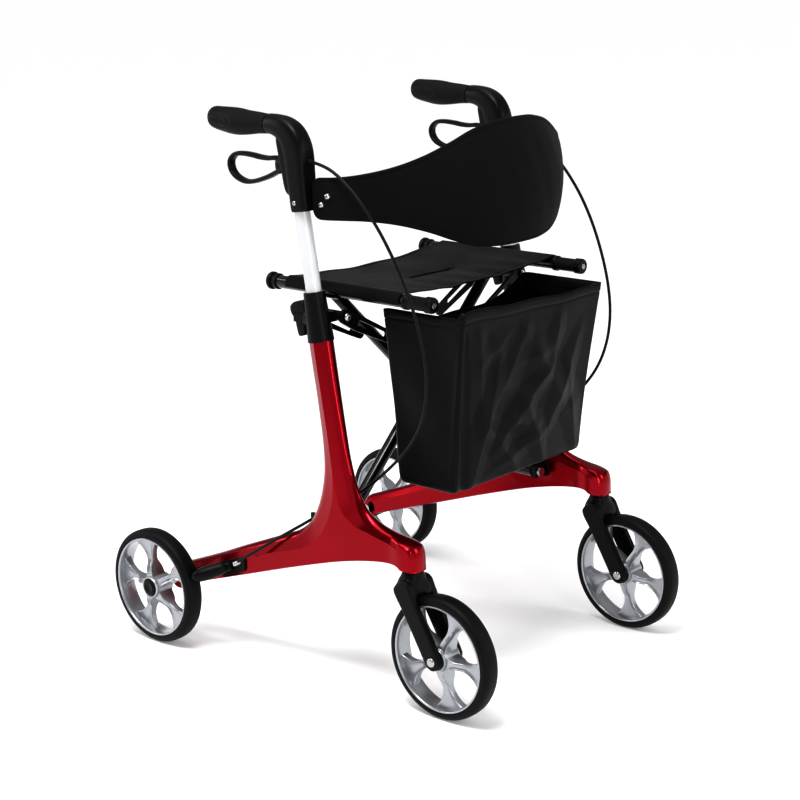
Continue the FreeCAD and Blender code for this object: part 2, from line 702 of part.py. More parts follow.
def backrest_band():
    """Padded band bowed forward; narrow at its ends and tall in the middle."""
    plan = arc_band("backrest_plan", size("band_bow"), size("band_half"), 600, 1000)
    body = new_body("backrest_front", Vector(150, 0, 0))
    low, high, half = size("band_low"), size("band_high"), size("band_half") + 20
    shape = [(-half, 768, 0), (-150, 752, 80), (-90, low, 60), (90, low, 60), (150, 752, 80), (half, 768, 0),
             (half, 812, 0), (190, 820, 90), (90, high, 60), (-90, high, 60), (-190, 820, 90),
             (-half, 812, 0)]
    pad(body, "YZ_Plane", [outline(shape)], "500")
    band = doc.addObject("Part::Common", "backrest_common")
    band.Base = plan
    band.Tool = body
    return piece(band, "backrest_band")


def seat_sling():
    """Fabric sling with a sewn tunnel round each rail."""
    half = size("rail_y")
    low = size("rail_z") + 5
    back, front = -size("seat_back"), size("seat_front")
    sheet_top = box("seat_sheet", (back, -half + 11.9, low), (front, half - 11.9, low + size("seat_thick")))
    tunnels = []
    for word, side in SIDES:
        start = Vector(back, side * half, size("rail_z"))
        length = "seat_front + seat_back"
        tunnels.append(ring("seat_tunnel_" + word, "rail_radius + 3.3", "rail_radius + 0.3", length,
                            start, X_AXIS))
    slot = box("seat_slot", (70, -60, low - 1), (84, 60, low + size("seat_thick") + 1))
    saddles = [box("seat_relief_" + word, (x - 26, side * half - 16, size("rail_z") - 20),
                   (x + 26, side * half + 16, size("rail_z") + 0.4))
               for (word, side), x in zip(SIDES, (size("arm_b_x"), size("arm_a_x")))]
    return piece(cut("seat_sling", fuse("seat_solid", sheet_top, *tunnels), slot, *saddles), "seat_sling")


def bag():
    """Open-topped bag, narrower in its length at the bottom, hanging in front of the cross arms."""
    body = new_body("bag_body")
    half, low, high = size("bag_half"), size("bag_low"), size("bag_high")
    wall = size("bag_wall")
    outer = [(160, low, 16), (266, low, 16), (295, high, 0), (137, high, 0)]
    inner = [(160 + wall, low + wall, 14), (266 - wall, low + wall, 14), (295 - wall, high + 5, 0),
             (137 + wall, high + 5, 0)]
    pad(body, "XZ_Plane", [outline(outer)], "2 * bag_half")
    pocket(body, "XZ_Plane", [outline(inner)], "2 * bag_half - 2 * bag_wall")
    return piece(body, "bag")


# --- assembly ---------------------------------------------------------------------------------

for word, side in SIDES:
    side_frame(word, side)
    pivot_bracket(word, side)
    pivot_bolt(word, side)
    collar(word, side)
    clamp_lever(word, side)
    post_tube(word, side)
    handle(word, side)
    handle_screws(word, side)
    grip(word, side)
    brake_lever(word, side)
    wheel(word + "_rear", side, -size("axle_x"), size("rear_track") / 2)
    rear_axle(word, side)
    hub_cap(word, side)
    wheel(word + "_front", side, size("axle_x"), side_y)
    front_axle(word, side)
    caster_fork(word, side)
    stem_bearings(word, side)
    brake_body(word, side)
    brake_shoe(word, side)
    seat_rail(word, side)
    rail_caps(word, side)
    support_link(word, side)
    brake_cable(word, side)

cross_arm("cross_arm_a", size("arm_a_x"), -1)
cross_arm("cross_arm_b", size("arm_b_x"), 1)
centre_pivot()
backrest_band()
seat_sling()
bag()

doc.recompute()
for obj in doc.Objects:
    if "Invalid" in obj.State or "Error" in obj.State:
        raise RuntimeError("%s failed: %s" % (obj.Name, obj.State))
for obj in pieces:
    if obj.Shape.isNull() or not obj.Shape.isValid() or not obj.Shape.Solids:
        raise RuntimeError("%s has no valid shape" % obj.Label)

os.makedirs("parts", exist_ok=True)
for obj in pieces:
    obj.Shape.exportStep("parts/%s.step" % obj.Label)
print("%d sub-parts written" % len(pieces))
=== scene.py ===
import json
import math

import bmesh
import bpy
import numpy as np
from mathutils import Matrix, Vector
from mathutils.geometry import delaunay_2d_cdt


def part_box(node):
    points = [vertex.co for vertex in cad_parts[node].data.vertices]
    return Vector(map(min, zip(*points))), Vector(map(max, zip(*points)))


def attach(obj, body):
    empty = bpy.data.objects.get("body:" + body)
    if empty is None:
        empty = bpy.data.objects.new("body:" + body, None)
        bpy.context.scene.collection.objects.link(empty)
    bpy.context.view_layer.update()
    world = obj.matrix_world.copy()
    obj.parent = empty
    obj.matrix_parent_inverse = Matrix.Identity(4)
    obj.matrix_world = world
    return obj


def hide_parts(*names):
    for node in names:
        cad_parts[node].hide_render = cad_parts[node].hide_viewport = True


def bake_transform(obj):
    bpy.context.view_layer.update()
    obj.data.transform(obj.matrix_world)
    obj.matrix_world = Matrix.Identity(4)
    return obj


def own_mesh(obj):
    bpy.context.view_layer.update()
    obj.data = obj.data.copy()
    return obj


# Folding rollator.  Shapes below are in millimetres of the row frame and are scaled to metres when
# a mesh is made.  +X is the walking direction, +Y is left, +Z is up.  Most parts are made on the
# middle plane and moved to their side.  Rows of two numbers are (x, z) in the side plane.

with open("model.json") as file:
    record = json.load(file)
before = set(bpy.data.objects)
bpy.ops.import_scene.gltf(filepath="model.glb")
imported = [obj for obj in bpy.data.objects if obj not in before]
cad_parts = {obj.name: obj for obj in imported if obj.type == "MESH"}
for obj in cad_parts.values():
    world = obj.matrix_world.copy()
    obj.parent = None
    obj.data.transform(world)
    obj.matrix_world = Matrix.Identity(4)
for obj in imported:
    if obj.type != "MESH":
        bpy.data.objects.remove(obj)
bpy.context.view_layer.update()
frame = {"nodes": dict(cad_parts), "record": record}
nodes = frame["nodes"]
scene = bpy.context.scene
SIDES = (("right", -1), ("left", 1))
MM = 0.001


def middle(node):
    """Centre of a node's box."""
    low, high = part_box(node)
    return np.array((low + high) / 2) * 1000


SIDE_Y = (abs(middle("right_side_frame")[1]) + abs(middle("left_side_frame")[1])) / 2
AXLE_X, AXLE_Z = 298, 100
GRIP_Z = 900.5
LINK_Y, LINK_Z = 215, 605


# --- finishes ---------------------------------------------------------------------------------

def put(node, values):
    for name, value in values.items():
        node.inputs[name].default_value = value


def principled(name):
    """New material and its main shader."""
    mat = bpy.data.materials.new(name)
    mat.use_nodes = True
    return mat, next(n for n in mat.node_tree.nodes if n.type == "BSDF_PRINCIPLED")


def finish(name, color, rough, metallic=0.0, coat=0.0, coat_rough=0.05, sheen=0.0, grain=None,
           vary=0.04, weave=None, flakes=False, shine=0.3):
    """Principled finish; grain is (size, strength), weave is (thread width, strength) on the UVs."""
    mat, shader = principled(name)
    add, link = mat.node_tree.nodes.new, mat.node_tree.links.new
    mat.diffuse_color = (*color, 1)
    put(shader, {"Metallic": metallic, "Specular IOR Level": shine, "Coat Weight": coat,
                 "Coat Roughness": coat_rough, "Sheen Weight": sheen, "Sheen Roughness": 0.5})
    where = add("ShaderNodeTexCoord")
    wear = add("ShaderNodeTexNoise")
    put(wear, {"Scale": 14, "Detail": 3})
    link(where.outputs["Object"], wear.inputs["Vector"])
    spread = add("ShaderNodeMapRange")
    put(spread, {"From Min": 0.3, "From Max": 0.7, "To Min": rough - vary, "To Max": rough + vary})
    link(wear.outputs["Fac"], spread.inputs["Value"])
    link(spread.outputs["Result"], shader.inputs["Roughness"])
    tint = add("ShaderNodeMix")
    tint.data_type = "RGBA"
    put(tint, {"A": (*[c * 0.86 for c in color], 1), "B": (*[min(1, c * 1.1) for c in color], 1)})
    link(wear.outputs["Fac"], tint.inputs["Factor"])
    base = tint.outputs["Result"]
    if flakes:
        cells = add("ShaderNodeTexVoronoi")
        put(cells, {"Scale": 2600})
        link(where.outputs["Object"], cells.inputs["Vector"])
        glint = add("ShaderNodeMix")
        glint.data_type = "RGBA"
        glint.blend_type = "MULTIPLY"
        put(glint, {"Factor": 0.22})
        link(base, glint.inputs["A"])
        link(cells.outputs["Color"], glint.inputs["B"])
        base = glint.outputs["Result"]
    link(base, shader.inputs["Base Color"])
    height = None
    if grain:
        size, strength = grain
        deep = size * 0.12 * MM
        fine = add("ShaderNodeTexNoise")
        put(fine, {"Scale": 1000 / size, "Detail": 2})
        link(where.outputs["Object"], fine.inputs["Vector"])
        height = fine.outputs["Fac"]
    if weave:
        thread, strength = weave
        deep = thread * 0.2 * MM
        turn = add("ShaderNodeTexChecker")
        put(turn, {"Scale": 1000 / thread})
        link(where.outputs["UV"], turn.inputs["Vector"])
        over = add("ShaderNodeMix")
        link(turn.outputs["Fac"], over.inputs["Factor"])
        for way, socket in (("X", "A"), ("Y", "B")):
            wave = add("ShaderNodeTexWave")
            wave.bands_direction = way
            put(wave, {"Scale": 314.16 / thread})
            link(where.outputs["UV"], wave.inputs["Vector"])
            link(wave.outputs["Fac"], over.inputs[socket])
        height = over.outputs["Result"]
    if height:
        bump = add("ShaderNodeBump")
        put(bump, {"Strength": strength, "Distance": deep})
        link(height, bump.inputs["Height"])
        link(bump.outputs["Normal"], shader.inputs["Normal"])
    return mat


BLACK = (0.0050, 0.0050, 0.0055)
LOOKS = {
    "red_metal": dict(color=(0.275, 0.0010, 0.0100), rough=0.21, metallic=0.90, coat=0.14, coat_rough=0.03,
                      vary=0.02, flakes=True),
    "black_cast": dict(color=BLACK, rough=0.40, grain=(0.9, 0.25), shine=0.16),
    "black_tube": dict(color=(0.0045, 0.0045, 0.0050), rough=0.20, coat=0.45, grain=(1.2, 0.10), shine=0.2),
    "white_tube": dict(color=(0.58, 0.59, 0.60), rough=0.34, metallic=0.1, coat=0.3, vary=0.03, shine=0.4),
    "black_plastic": dict(color=BLACK, rough=0.36, grain=(0.5, 0.18), shine=0.16),
    "grip_rubber": dict(color=(0.0060, 0.0060, 0.0065), rough=0.56, grain=(0.8, 0.5), shine=0.16),
    "steel": dict(color=(0.42, 0.42, 0.43), rough=0.26, metallic=1.0, grain=(1.5, 0.05)),
    "tyre": dict(color=(0.0060, 0.0060, 0.0064), rough=0.52, grain=(1.0, 0.25), shine=0.16),
    "silver_rim": dict(color=(0.37, 0.38, 0.40), rough=0.30, metallic=0.82, coat=0.15, vary=0.02, shine=0.5),
    "cable_sheath": dict(color=BLACK, rough=0.40, grain=(0.6, 0.15), shine=0.2),
    "band_fabric": dict(color=(0.0060, 0.0060, 0.0068), rough=0.72, sheen=0.02, weave=(1.1, 0.5), shine=0.1),
    "seat_fabric": dict(color=(0.0055, 0.0055, 0.0064), rough=0.54, sheen=0.015, weave=(1.4, 0.5),
                        shine=0.09),
    "bag_fabric": dict(color=(0.0045, 0.0045, 0.0052), rough=0.40, sheen=0.005, weave=(0.9, 0.3),
                       shine=0.13),
}
MATS = {name: finish(name, **look) for name, look in LOOKS.items()}


def dress(obj, name):
    obj.data.materials.clear()
    obj.data.materials.append(MATS[name])


# --- mesh helpers -----------------------------------------------------------------------------

def mesh(name, points, faces, angle=38, uvs=None):
    """Object from points in millimetres; edges sharper than the angle stay hard."""
    data = bpy.data.meshes.new(name)
    verts = [tuple(p) for p in np.asarray(points, float) * MM]
    data.from_pydata(verts, [], [list(map(int, f)) for f in faces])
    if uvs is not None:
        layer = data.uv_layers.new(name="UVMap")
        corners = [uvs[loop.vertex_index] for loop in data.loops]
        layer.data.foreach_set("uv", np.asarray(corners, float).ravel())
    data.validate()
    data.shade_smooth()
    data.set_sharp_from_angle(angle=math.radians(angle))
    obj = bpy.data.objects.new(name, data)
    scene.collection.objects.link(obj)
    return obj


def applied(obj):
    """Mesh of an object as it looks with its modifiers, or with its curve's bevel."""
    graph = bpy.context.evaluated_depsgraph_get()
    return bpy.data.meshes.new_from_object(obj.evaluated_get(graph))


def thickened(obj, thick, offset):
    """Gives a sheet its cloth's thickness."""
    mod = obj.modifiers.new("cloth", "SOLIDIFY")
    mod.thickness = thick * MM
    mod.offset = offset
    obj.data = applied(obj)
    obj.modifiers.clear()


def merge(*parts):
    """Several (points, faces) as one."""
    points, faces, base = [], [], 0
    for p, f in parts:
        points.append(np.asarray(p, float))
        faces += [[i + base for i in face] for face in f]
        base += len(p)
    return np.vstack(points), faces


def moved(part, turn=None, shift=(0, 0, 0)):
    """Copy of (points, faces), turned by a matrix and then shifted."""
    points = np.asarray(part[0], float)
    if turn is not None:
        points = points @ np.array(turn).T
    return points + np.array(shift, float), part[1]


def unit(rows):
    return rows / np.linalg.norm(rows, axis=1)[:, None]


def lengths(line):
    """Distance along a line at each of its points."""
    return np.concatenate([[0], np.cumsum(np.linalg.norm(np.diff(line, axis=0), axis=1))])


def circle(m):
    return np.linspace(0, 2 * math.pi, m, endpoint=False)


def curve(points, steps, closed=False):
    """Smooth line through the points, in any number of columns."""
    p = np.array(points, float)
    if closed:
        p = np.vstack([p[-1], p, p[0], p[1]])
    else:
        p = np.vstack([2 * p[0] - p[1], p, 2 * p[-1] - p[-2]])
    t = np.linspace(0, 1, steps, endpoint=False)[:, None]
    rows = []
    for a, b, c, d in zip(p, p[1:], p[2:], p[3:]):
        rows.append(0.5 * (2 * b + (c - a) * t + (2 * a - 5 * b + 4 * c - d) * t ** 2
                           + (3 * b - a - 3 * c + d) * t ** 3))
    out = np.vstack(rows)
    return out if closed else np.vstack([out, p[-2]])


def skin(rings, closed_path=False, caps=True):
    """Quads over a list of rings of equal count."""
    count, m = len(rings), len(rings[0])
    points = np.vstack(rings)
    faces = []
    for i in range(count if closed_path else count - 1):
        j = (i + 1) % count
        for k in range(m):
            n = (k + 1) % m
            faces.append([i * m + k, i * m + n, j * m + n, j * m + k])
    if caps and not closed_path:
        faces.append(list(range(m))[::-1])
        faces.append([(count - 1) * m + k for k in range(m)])
    return points, faces


def super_ring(a, b, power, m=32):
    """Closed ring between an ellipse (power 2) and a rectangle (high power)."""
    c, s = np.cos(circle(m)), np.sin(circle(m))
    return (a * np.sign(c) * np.abs(c) ** (2 / power), b * np.sign(s) * np.abs(s) ** (2 / power))


def sweep(rows, y=0.0, closed=False, m=32):
    """Rows of x, z, half size in the plane, half size across, roundness power."""
    rows = np.array(rows, float)
    if closed:
        way = np.roll(rows[:, :2], -1, 0) - np.roll(rows[:, :2], 1, 0)
    else:
        way = np.gradient(rows[:, :2], axis=0)
    rings = []
    for (x, z, a, b, power), (tx, tz) in zip(rows, unit(way)):
        u, v = super_ring(a, b, power, m)
        rings.append(np.stack([x - tz * u, y + v, z + tx * u], 1))
    return skin(rings, closed)


def lathe(profile, axis, centre, m):
    """Turned shape from (radius, place along the axis) pairs, with flat ends."""
    angle = circle(m)
    rings = []
    for r, h in profile:
        u, v = r * np.cos(angle), r * np.sin(angle)
        w = np.full(m, h)
        columns = {"x": [w, u, v], "y": [u, w, v]}[axis]
        rings.append(np.stack(columns, 1) + np.array(centre, float))
    return skin(rings)


def outward(profile, side, x, z, y=0, m=32):
    """Turned shape across the walker, whose profile's second number points away from the middle."""
    return lathe([(r, side * h) for r, h in profile], "y", (x, y, z), m)


def closed_lathe(profile, m):
    """Ring about the Y axis from a closed (radius, y) profile."""
    r, h = np.array(profile, float).T
    return skin([np.stack([r * math.cos(t), h, r * math.sin(t)], 1) for t in circle(m)], True)


def fix_normals(obj):
    work = bmesh.new()
    work.from_mesh(obj.data)
    bmesh.ops.recalc_face_normals(work, faces=work.faces)
    work.to_mesh(obj.data)
    work.free()
    return obj


def build(name, part, finish_name, body, replaces=(), angle=38):
    """One visual piece that rides on a body and may stand in for CAD nodes."""
    obj = fix_normals(mesh(name, *part, angle=angle))
    dress(obj, finish_name)
    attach(obj, body)
    if replaces:
        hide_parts(*replaces)


def bevel(obj, width):
    mod = obj.modifiers.new("soft_edges", "BEVEL")
    mod.width = width * MM
    mod.segments = 2
    mod.limit_method = "ANGLE"
    mod.angle_limit = math.radians(32)
    mod.use_clamp_overlap = True


# --- side castings ----------------------------------------------------------------------------

LOWER = [(-300, 82), (-231, 106), (-121, 143), (-17, 178), (75, 207), (128, 221), (164, 228.5), (190, 232.5),
         (212, 234), (220.5, 233.2), (225, 231.4), (226.6, 229), (230, 228.4), (240, 228.3), (250, 228.3),
         (254.6, 228.5)]
# x, z and the width over which the face rolls away from that edge
UPPER_FRONT = [(255, 232, 15), (255.6, 242, 18), (255.4, 252, 19), (253.4, 262, 19), (249, 269.5, 18),
               (240, 273.8, 17), (226, 277, 15), (205, 281.5, 13.5), (184, 286.5, 14.5), (167, 293, 18),
               (150, 304, 28), (140, 315, 35), (131, 330, 37), (121, 353, 31), (112, 384, 27),
               (105, 420, 24.3), (95, 480, 22.8), (88, 525, 22.6), (81, 572, 22.6)]
UPPER_REAR = [(36, 572, 22.6), (43, 525, 22.6), (49.9, 480, 22.8), (57, 420, 24.3), (58.8, 384, 27),
              (57, 353, 31), (49, 318, 36), (37, 288, 36), (22, 265, 34), (-2, 246.5, 30), (-30, 234, 27),
              (-80, 213.5, 22), (-135, 191, 19), (-198, 164, 16), (-256, 141, 14), (-300, 124, 13)]
REAR_BOSS = [(0.5, -16), (17.6, -16), (19.3, -15.4), (20, -14), (20, 14), (19.3, 15.4), (17.6, 16), (0.5, 16)]
CREST = math.radians(60)
FOOT_ROLL = 2.8
LINE_GAP = 3.0
FIELD_GAP = 6.5
TUBE_HALF, POST_EXTRA, SOCKET_EXTRA = 16, 2.5, 4
# x, and the part of the half thickness that the straight slope up to the crease takes there
CREASE = [(-120, 0.42), (0, 0.52), (150, 0.52), (205, 0.36), (228, 0.08)]


def rolled(share):
    """Half thickness from the share of the rounded width that lies behind; ends short of flat."""
    share = np.clip(share, 0, 1)
    phi = np.arccos(np.clip(1 - share * (1 - math.cos(CREST)), -1, 1))
    return np.sin(phi) / math.sin(CREST)


def chamfered(share, straight):
    """Half thickness: a rounded edge that runs into a straight slope up to the crease."""
    share = np.clip(share, 0, 1)
    near = np.minimum(share / 0.4, 1)
    return (1 - straight) * np.sqrt(1 - (1 - near) ** 2) + straight * share


def spaced(line, gap):
    line = np.array(line, float)
    run = lengths(line[:, :2])
    at = np.linspace(0, run[-1], max(2, int(run[-1] / gap) + 1))
    return np.stack([np.interp(at, run, line[:, k]) for k in range(line.shape[1])], 1)


def nearest(points, line):
    """Distance to a line, and the line's third column where it is nearest."""
    best, value = np.full(len(points), 1e9), np.ones(len(points))
    for a, b in zip(line, line[1:]):
        d = (b - a)[:2]
        t = np.clip(((points - a[:2]) @ d) / max(d @ d, 1e-12), 0, 1)
        gap = np.linalg.norm(points - a[:2] - t[:, None] * d, axis=1)
        closer = gap < best
        best = np.where(closer, gap, best)
        value = np.where(closer, (a + (b - a) * t[:, None])[:, 2] if len(a) > 2 else 1, value)
    return best, value


def distance(points, line):
    return nearest(points, line)[0]


def casting():
    """Side casting: both faces over a triangulated outline, thin at the edge and full at the crease."""
    lower = spaced(curve(LOWER, 12), LINE_GAP)
    front = spaced(curve(UPPER_FRONT, 8), LINE_GAP)
    rear = spaced(curve(UPPER_REAR, 8), LINE_GAP)
    rim = np.vstack([lower, front[:, :2], rear[:, :2]])

    def share(p):
        (a, ra), (b, rb) = nearest(p, front), nearest(p, rear)
        return np.minimum(a / ra, b / rb)

    # rows of points that follow each edge inward, closest where the face rolls most
    inside = []
    for line in (front, rear, lower):
        up = line.shape[1] > 2
        way = unit(np.gradient(line[:, :2], axis=0))
        inward = np.stack([-way[:, 1], way[:, 0]], 1)
        width = line[:, 2] if up else np.full(len(line), FOOT_ROLL)
        for step in np.linspace(0, 1, 13 if up else 6)[1:]:
            reach = (1 - math.cos(CREST * step)) / (1 - math.cos(CREST))
            spots = line[:, :2] + inward * (width * reach)[:, None]
            gap = distance(spots, lower)
            if up:
                clear = (share(spots) > reach * 0.975) & (gap > 0.6)
            else:
                clear = (gap > reach * FOOT_ROLL * 0.97) & (share(spots) > 0.012)
            inside.append(spots[clear])
    # the crest of the post, then a loose field over the flat of the face
    mid_z = np.arange(322, 571, LINE_GAP)
    mid_x = (np.interp(mid_z, front[:, 1], front[:, 0]) + np.interp(mid_z, rear[::-1, 1], rear[::-1, 0])) / 2
    inside.append(np.stack([mid_x, mid_z], 1))
    xs, zs = np.meshgrid(np.arange(-300, 255, FIELD_GAP), np.arange(80, 575, FIELD_GAP))
    field = np.stack([xs.ravel(), zs.ravel()], 1)
    inside.append(field[(share(field) > 1.08) & (distance(field, lower) > FOOT_ROLL + 2.5)])
    spots = np.vstack([rim, *inside])
    order = list(range(len(rim)))
    verts, _, tris, *_ = delaunay_2d_cdt([Vector(p) for p in spots], [], [order], 1, 0.05)
    verts = np.array([tuple(v) for v in verts])
    thick = TUBE_HALF + POST_EXTRA * np.clip((verts[:, 1] - 340) / 180, 0, 1)
    socket = np.clip((verts[:, 0] - 198) / 34, 0, 1) * (verts[:, 1] < 300)
    thick = thick + SOCKET_EXTRA * socket * socket * (3 - 2 * socket)
    straight = np.interp(verts[:, 0], *np.array(CREASE).T)
    half = thick * np.minimum(chamfered(share(verts), straight), rolled(distance(verts, lower) / FOOT_ROLL))
    edge = distance(verts, np.vstack([rim, rim[:1]])) < 0.02
    half[edge] = 0
    count = len(verts)
    points = np.vstack([np.stack([verts[:, 0], half, verts[:, 1]], 1),
                        np.stack([verts[:, 0], -half, verts[:, 1]], 1)])
    back = [i if edge[i] else i + count for i in range(count)]
    faces = [list(t) for t in tris] + [[back[i] for i in reversed(t)] for t in tris]
    used = sorted({i for f in faces for i in f})
    where = {v: k for k, v in enumerate(used)}
    return points[used], [[where[i] for i in f] for f in faces]


casting_part = merge(casting(), lathe(REAR_BOSS, "y", (-AXLE_X, 0, AXLE_Z), 56))
for word, side in SIDES:
    build(word + "_casting", moved(casting_part, shift=(0, side * SIDE_Y, 0)), "red_metal", word + "_frame",
          [word + "_side_frame"], angle=11)


# --- wheels -----------------------------------------------------------------------------------

def mirrored(half):
    """Profile (r, y) from the middle out, made symmetric."""
    return [(r, -y) for r, y in reversed(half)] + [(r, y) for r, y in half if y > 1e-6]


TYRE = mirrored([(100, 0.0), (99.9, 5), (99.4, 9), (98.0, 12.3), (95.6, 14.8), (92.6, 15.9), (89.6, 16.1),
                 (87.9, 15.8), (87.0, 15.1), (86.5, 14.0)]) + [(84.6, 13.2), (84.6, -13.2)]
BARREL = mirrored([(81.6, 0.0), (81.8, 7), (82.3, 12), (83.0, 15), (83.6, 16.2), (84.4, 16.8), (85.4, 16.8),
                   (86.2, 16.3), (86.5, 15.3), (86.4, 14.0), (84.2, 12.8)]) + [(84.2, -12.8)]
HUB_HALF, HUB_R = 19, 18.5
SPOKE_DEPTH = 9
SPOKES = 5
# angle of one spoke of each wheel, in degrees
FIRST_SPOKE = {"right_rear": -12, "left_rear": 30, "right_front": 25, "left_front": 29}
# radius, and distance outward from the cap's inner face
CAP = [(14.6, -3), (14.8, 1.4), (14.2, 2.8), (12.4, 3.8), (8.6, 4.3), (7.8, 4.0), (7.2, 3.6), (0.4, 3.5)]


def spoke():
    """One spoke along +Z with raised borders, concave middle and a flare at the barrel."""
    hub_depth = 2 * HUB_HALF - 9
    # radius, half width and depth
    spine = [(HUB_R - 4, 9.0, hub_depth), (HUB_R + 4, 7.4, hub_depth - 2), (33, 6.4, hub_depth * 0.5 + 7),
             (44, 6.6, SPOKE_DEPTH + 1.4), (54, 8.2, SPOKE_DEPTH), (62, 11.2, SPOKE_DEPTH),
             (69, 15.4, SPOKE_DEPTH + 0.6), (75.5, 20.6, SPOKE_DEPTH + 1.4), (82.6, 27.4, SPOKE_DEPTH + 2.4)]
    # share of the half width, and height over the half depth
    cross = [(1.0, -1.4), (0.99, 0.1), (0.955, 1.0), (0.90, 1.3), (0.83, 1.0), (0.72, 0.1), (0.56, -0.8),
             (0.38, -1.4), (0.2, -1.7), (0.0, -1.8)]
    cross += [(-t, h) for t, h in reversed(cross[:-1])]
    rings = []
    for r, w, d in curve(spine, 8):
        fade = np.clip((r - HUB_R) / 12, 0.15, 1)
        top = [(t * w, d / 2 + h * fade) for t, h in cross]
        ring = [(x, y) for x, y in top] + [(x, -y) for x, y in reversed(top)]
        bend = [math.sqrt(max(r * r - x * x * 0.9, 1)) if r > 60 else r for x, _ in ring]
        rings.append(np.array([(x, y, b) for (x, y), b in zip(ring, bend)]))
    return skin(rings)


def rim_part(first):
    """Barrel, hub and spokes; first is the angle of one spoke in degrees."""
    inner = HUB_HALF - 3.2
    hub = closed_lathe(mirrored([(19.6, 0.0), (19.5, HUB_HALF - 5), (19.1, HUB_HALF - 1.8),
                                 (18.2, HUB_HALF - 0.3), (17.2, HUB_HALF), (16.2, HUB_HALF - 0.2),
                                 (15.6, HUB_HALF - 1.2), (15.1, HUB_HALF - 2.5), (11.2, inner)])
                       + [(11.2, -inner)], 64)
    one = spoke()
    parts = [closed_lathe(BARREL, 120), hub]
    for k in range(SPOKES):
        turn = math.radians(first + 360 / SPOKES * k)
        c, s = math.cos(turn), math.sin(turn)
        parts.append(moved(one, [[c, 0, s], [0, 1, 0], [-s, 0, c]]))
    return merge(*parts)


tyre_part = closed_lathe(TYRE, 144)
for word, side in SIDES:
    for wheel in (word + "_rear", word + "_front"):
        centre = middle(wheel + "_tyre")
        build(wheel + "_tread", moved(tyre_part, shift=centre), "tyre", wheel + "_wheel", [wheel + "_tyre"])
        build(wheel + "_spokes", moved(rim_part(FIRST_SPOKE[wheel]), shift=centre), "silver_rim",
              wheel + "_wheel", [wheel + "_rim"], angle=40)
    cap = middle(word + "_hub_cap")
    face = abs(cap[1]) - 3.5
    build(word + "_cap", outward([(r, face + h) for r, h in CAP], side, cap[0], cap[2], m=48),
          "black_plastic", word + "_rear_wheel", [word + "_hub_cap"])


# --- caster forks -----------------------------------------------------------------------------

# half length, half width, roundness power, z and x of each ring of the crown
CROWN = [(15.4, 18, 2, 227.6, 239), (16.6, 19, 2.1, 223, 239), (19.6, 22.5, 2.5, 214, 238),
         (21.5, 26.5, 3.0, 206, 239), (21, 28.5, 3.4, 199, 241), (19, 28.6, 3.6, 193, 243),
         (15, 28, 3.6, 189, 244)]
# x, z, half width, half thickness and roundness power along a leg
LEG = [(233.6, 215.5, 7, 3.4, 4), (236, 211, 14, 5.4, 7), (238.8, 204.5, 17.2, 5.8, 8),
       (243.4, 195.6, 17.0, 5.8, 8), (250, 184, 15.8, 5.8, 8), (258, 170, 15.4, 5.8, 8),
       (272, 145.7, 15.2, 5.8, 8), (286, 121.5, 15.1, 5.8, 8), (296, 104.2, 15.1, 5.8, 8),
       (301.0, 95.7, 14.0, 5.8, 8), (303.2, 92.0, 11.5, 5.6, 7), (304.8, 89.3, 8.4, 5.4, 6),
       (305.7, 87.7, 4.6, 5.0, 5)]
LEG_Y = 23.6
FORK_BOLT = [(0.4, 33.0), (4.4, 32.9), (6.4, 32.2), (7.6, 30.6), (7.6, 29.2), (4.0, 29.0), (4.0, 0)]


def remeshed(part, voxel, smooth):
    """Overlapping shapes as one smooth skin."""
    obj = fix_normals(mesh("work", *part))
    mod = obj.modifiers.new("one_skin", "REMESH")
    mod.mode = "VOXEL"
    mod.voxel_size = voxel * MM
    mod.adaptivity = 0.0
    soft = obj.modifiers.new("soft", "SMOOTH")
    soft.factor = 0.5
    soft.iterations = smooth
    data = applied(obj)
    points = np.array([v.co for v in data.vertices], float) * 1000
    faces = [list(p.vertices) for p in data.polygons]
    bpy.data.objects.remove(obj)
    return points, faces


def fork_part():
    """Crown under the socket and two legs that reach forward to the axle; remeshed as one casting."""
    rings = []
    for half_x, half_y, power, z, x in CROWN:
        u, v = super_ring(half_x, half_y, power, 40)
        rings.append(np.stack([u + x, v, np.full(40, z)], 1))
    legs = [sweep(curve(LEG, 5), y, m=44) for y in (-LEG_Y, LEG_Y)]
    return remeshed(merge(skin(rings), *legs), 1.3, 2)


fork_skin = fork_part()
bolt_ends = merge(*[outward(FORK_BOLT, end, AXLE_X, AXLE_Z, m=36) for end in (-1, 1)])
for word, side in SIDES:
    shift = (0, side * SIDE_Y, 0)
    build(word + "_fork", moved(fork_skin, shift=shift), "black_cast", word + "_caster",
          [word + "_caster_fork"], angle=60)
    build(word + "_fork_bolt", moved(bolt_ends, shift=shift), "steel", word + "_caster",
          [word + "_front_axle"])


# --- handles ----------------------------------------------------------------------------------

# x, z, half size in the plane, half size across and roundness power
HOUSING = [(34.2, 770.2, 15.4, 14.6, 3.8), (34.0, 771.6, 17.0, 16.2, 4.2), (33.2, 776, 17.6, 16.8, 4.6),
           (31.6, 792, 17.8, 17.2, 4.6), (30.2, 812, 18.2, 17.6, 4.6), (28.4, 834, 19.0, 18.0, 4.6),
           (26.8, 852, 20.4, 18.2, 4.2), (23.0, 869, 21.6, 18.2, 3.6), (13.6, 885, 21.4, 17.9, 3.0),
           (-1, 894.6, 19.6, 17.4, 2.6), (-18, 899.4, 17.2, 16.6, 2.2), (-36.6, 901.2, 15.6, 15.4, 2.0)]
FIN = [(14, 888), (-4, 886), (-11.5, 880), (-9, 862), (-6.4, 849), (-2, 829), (2.5, 807), (8, 796.5),
       (19, 792.6), (30, 800), (32, 830), (28, 862)]
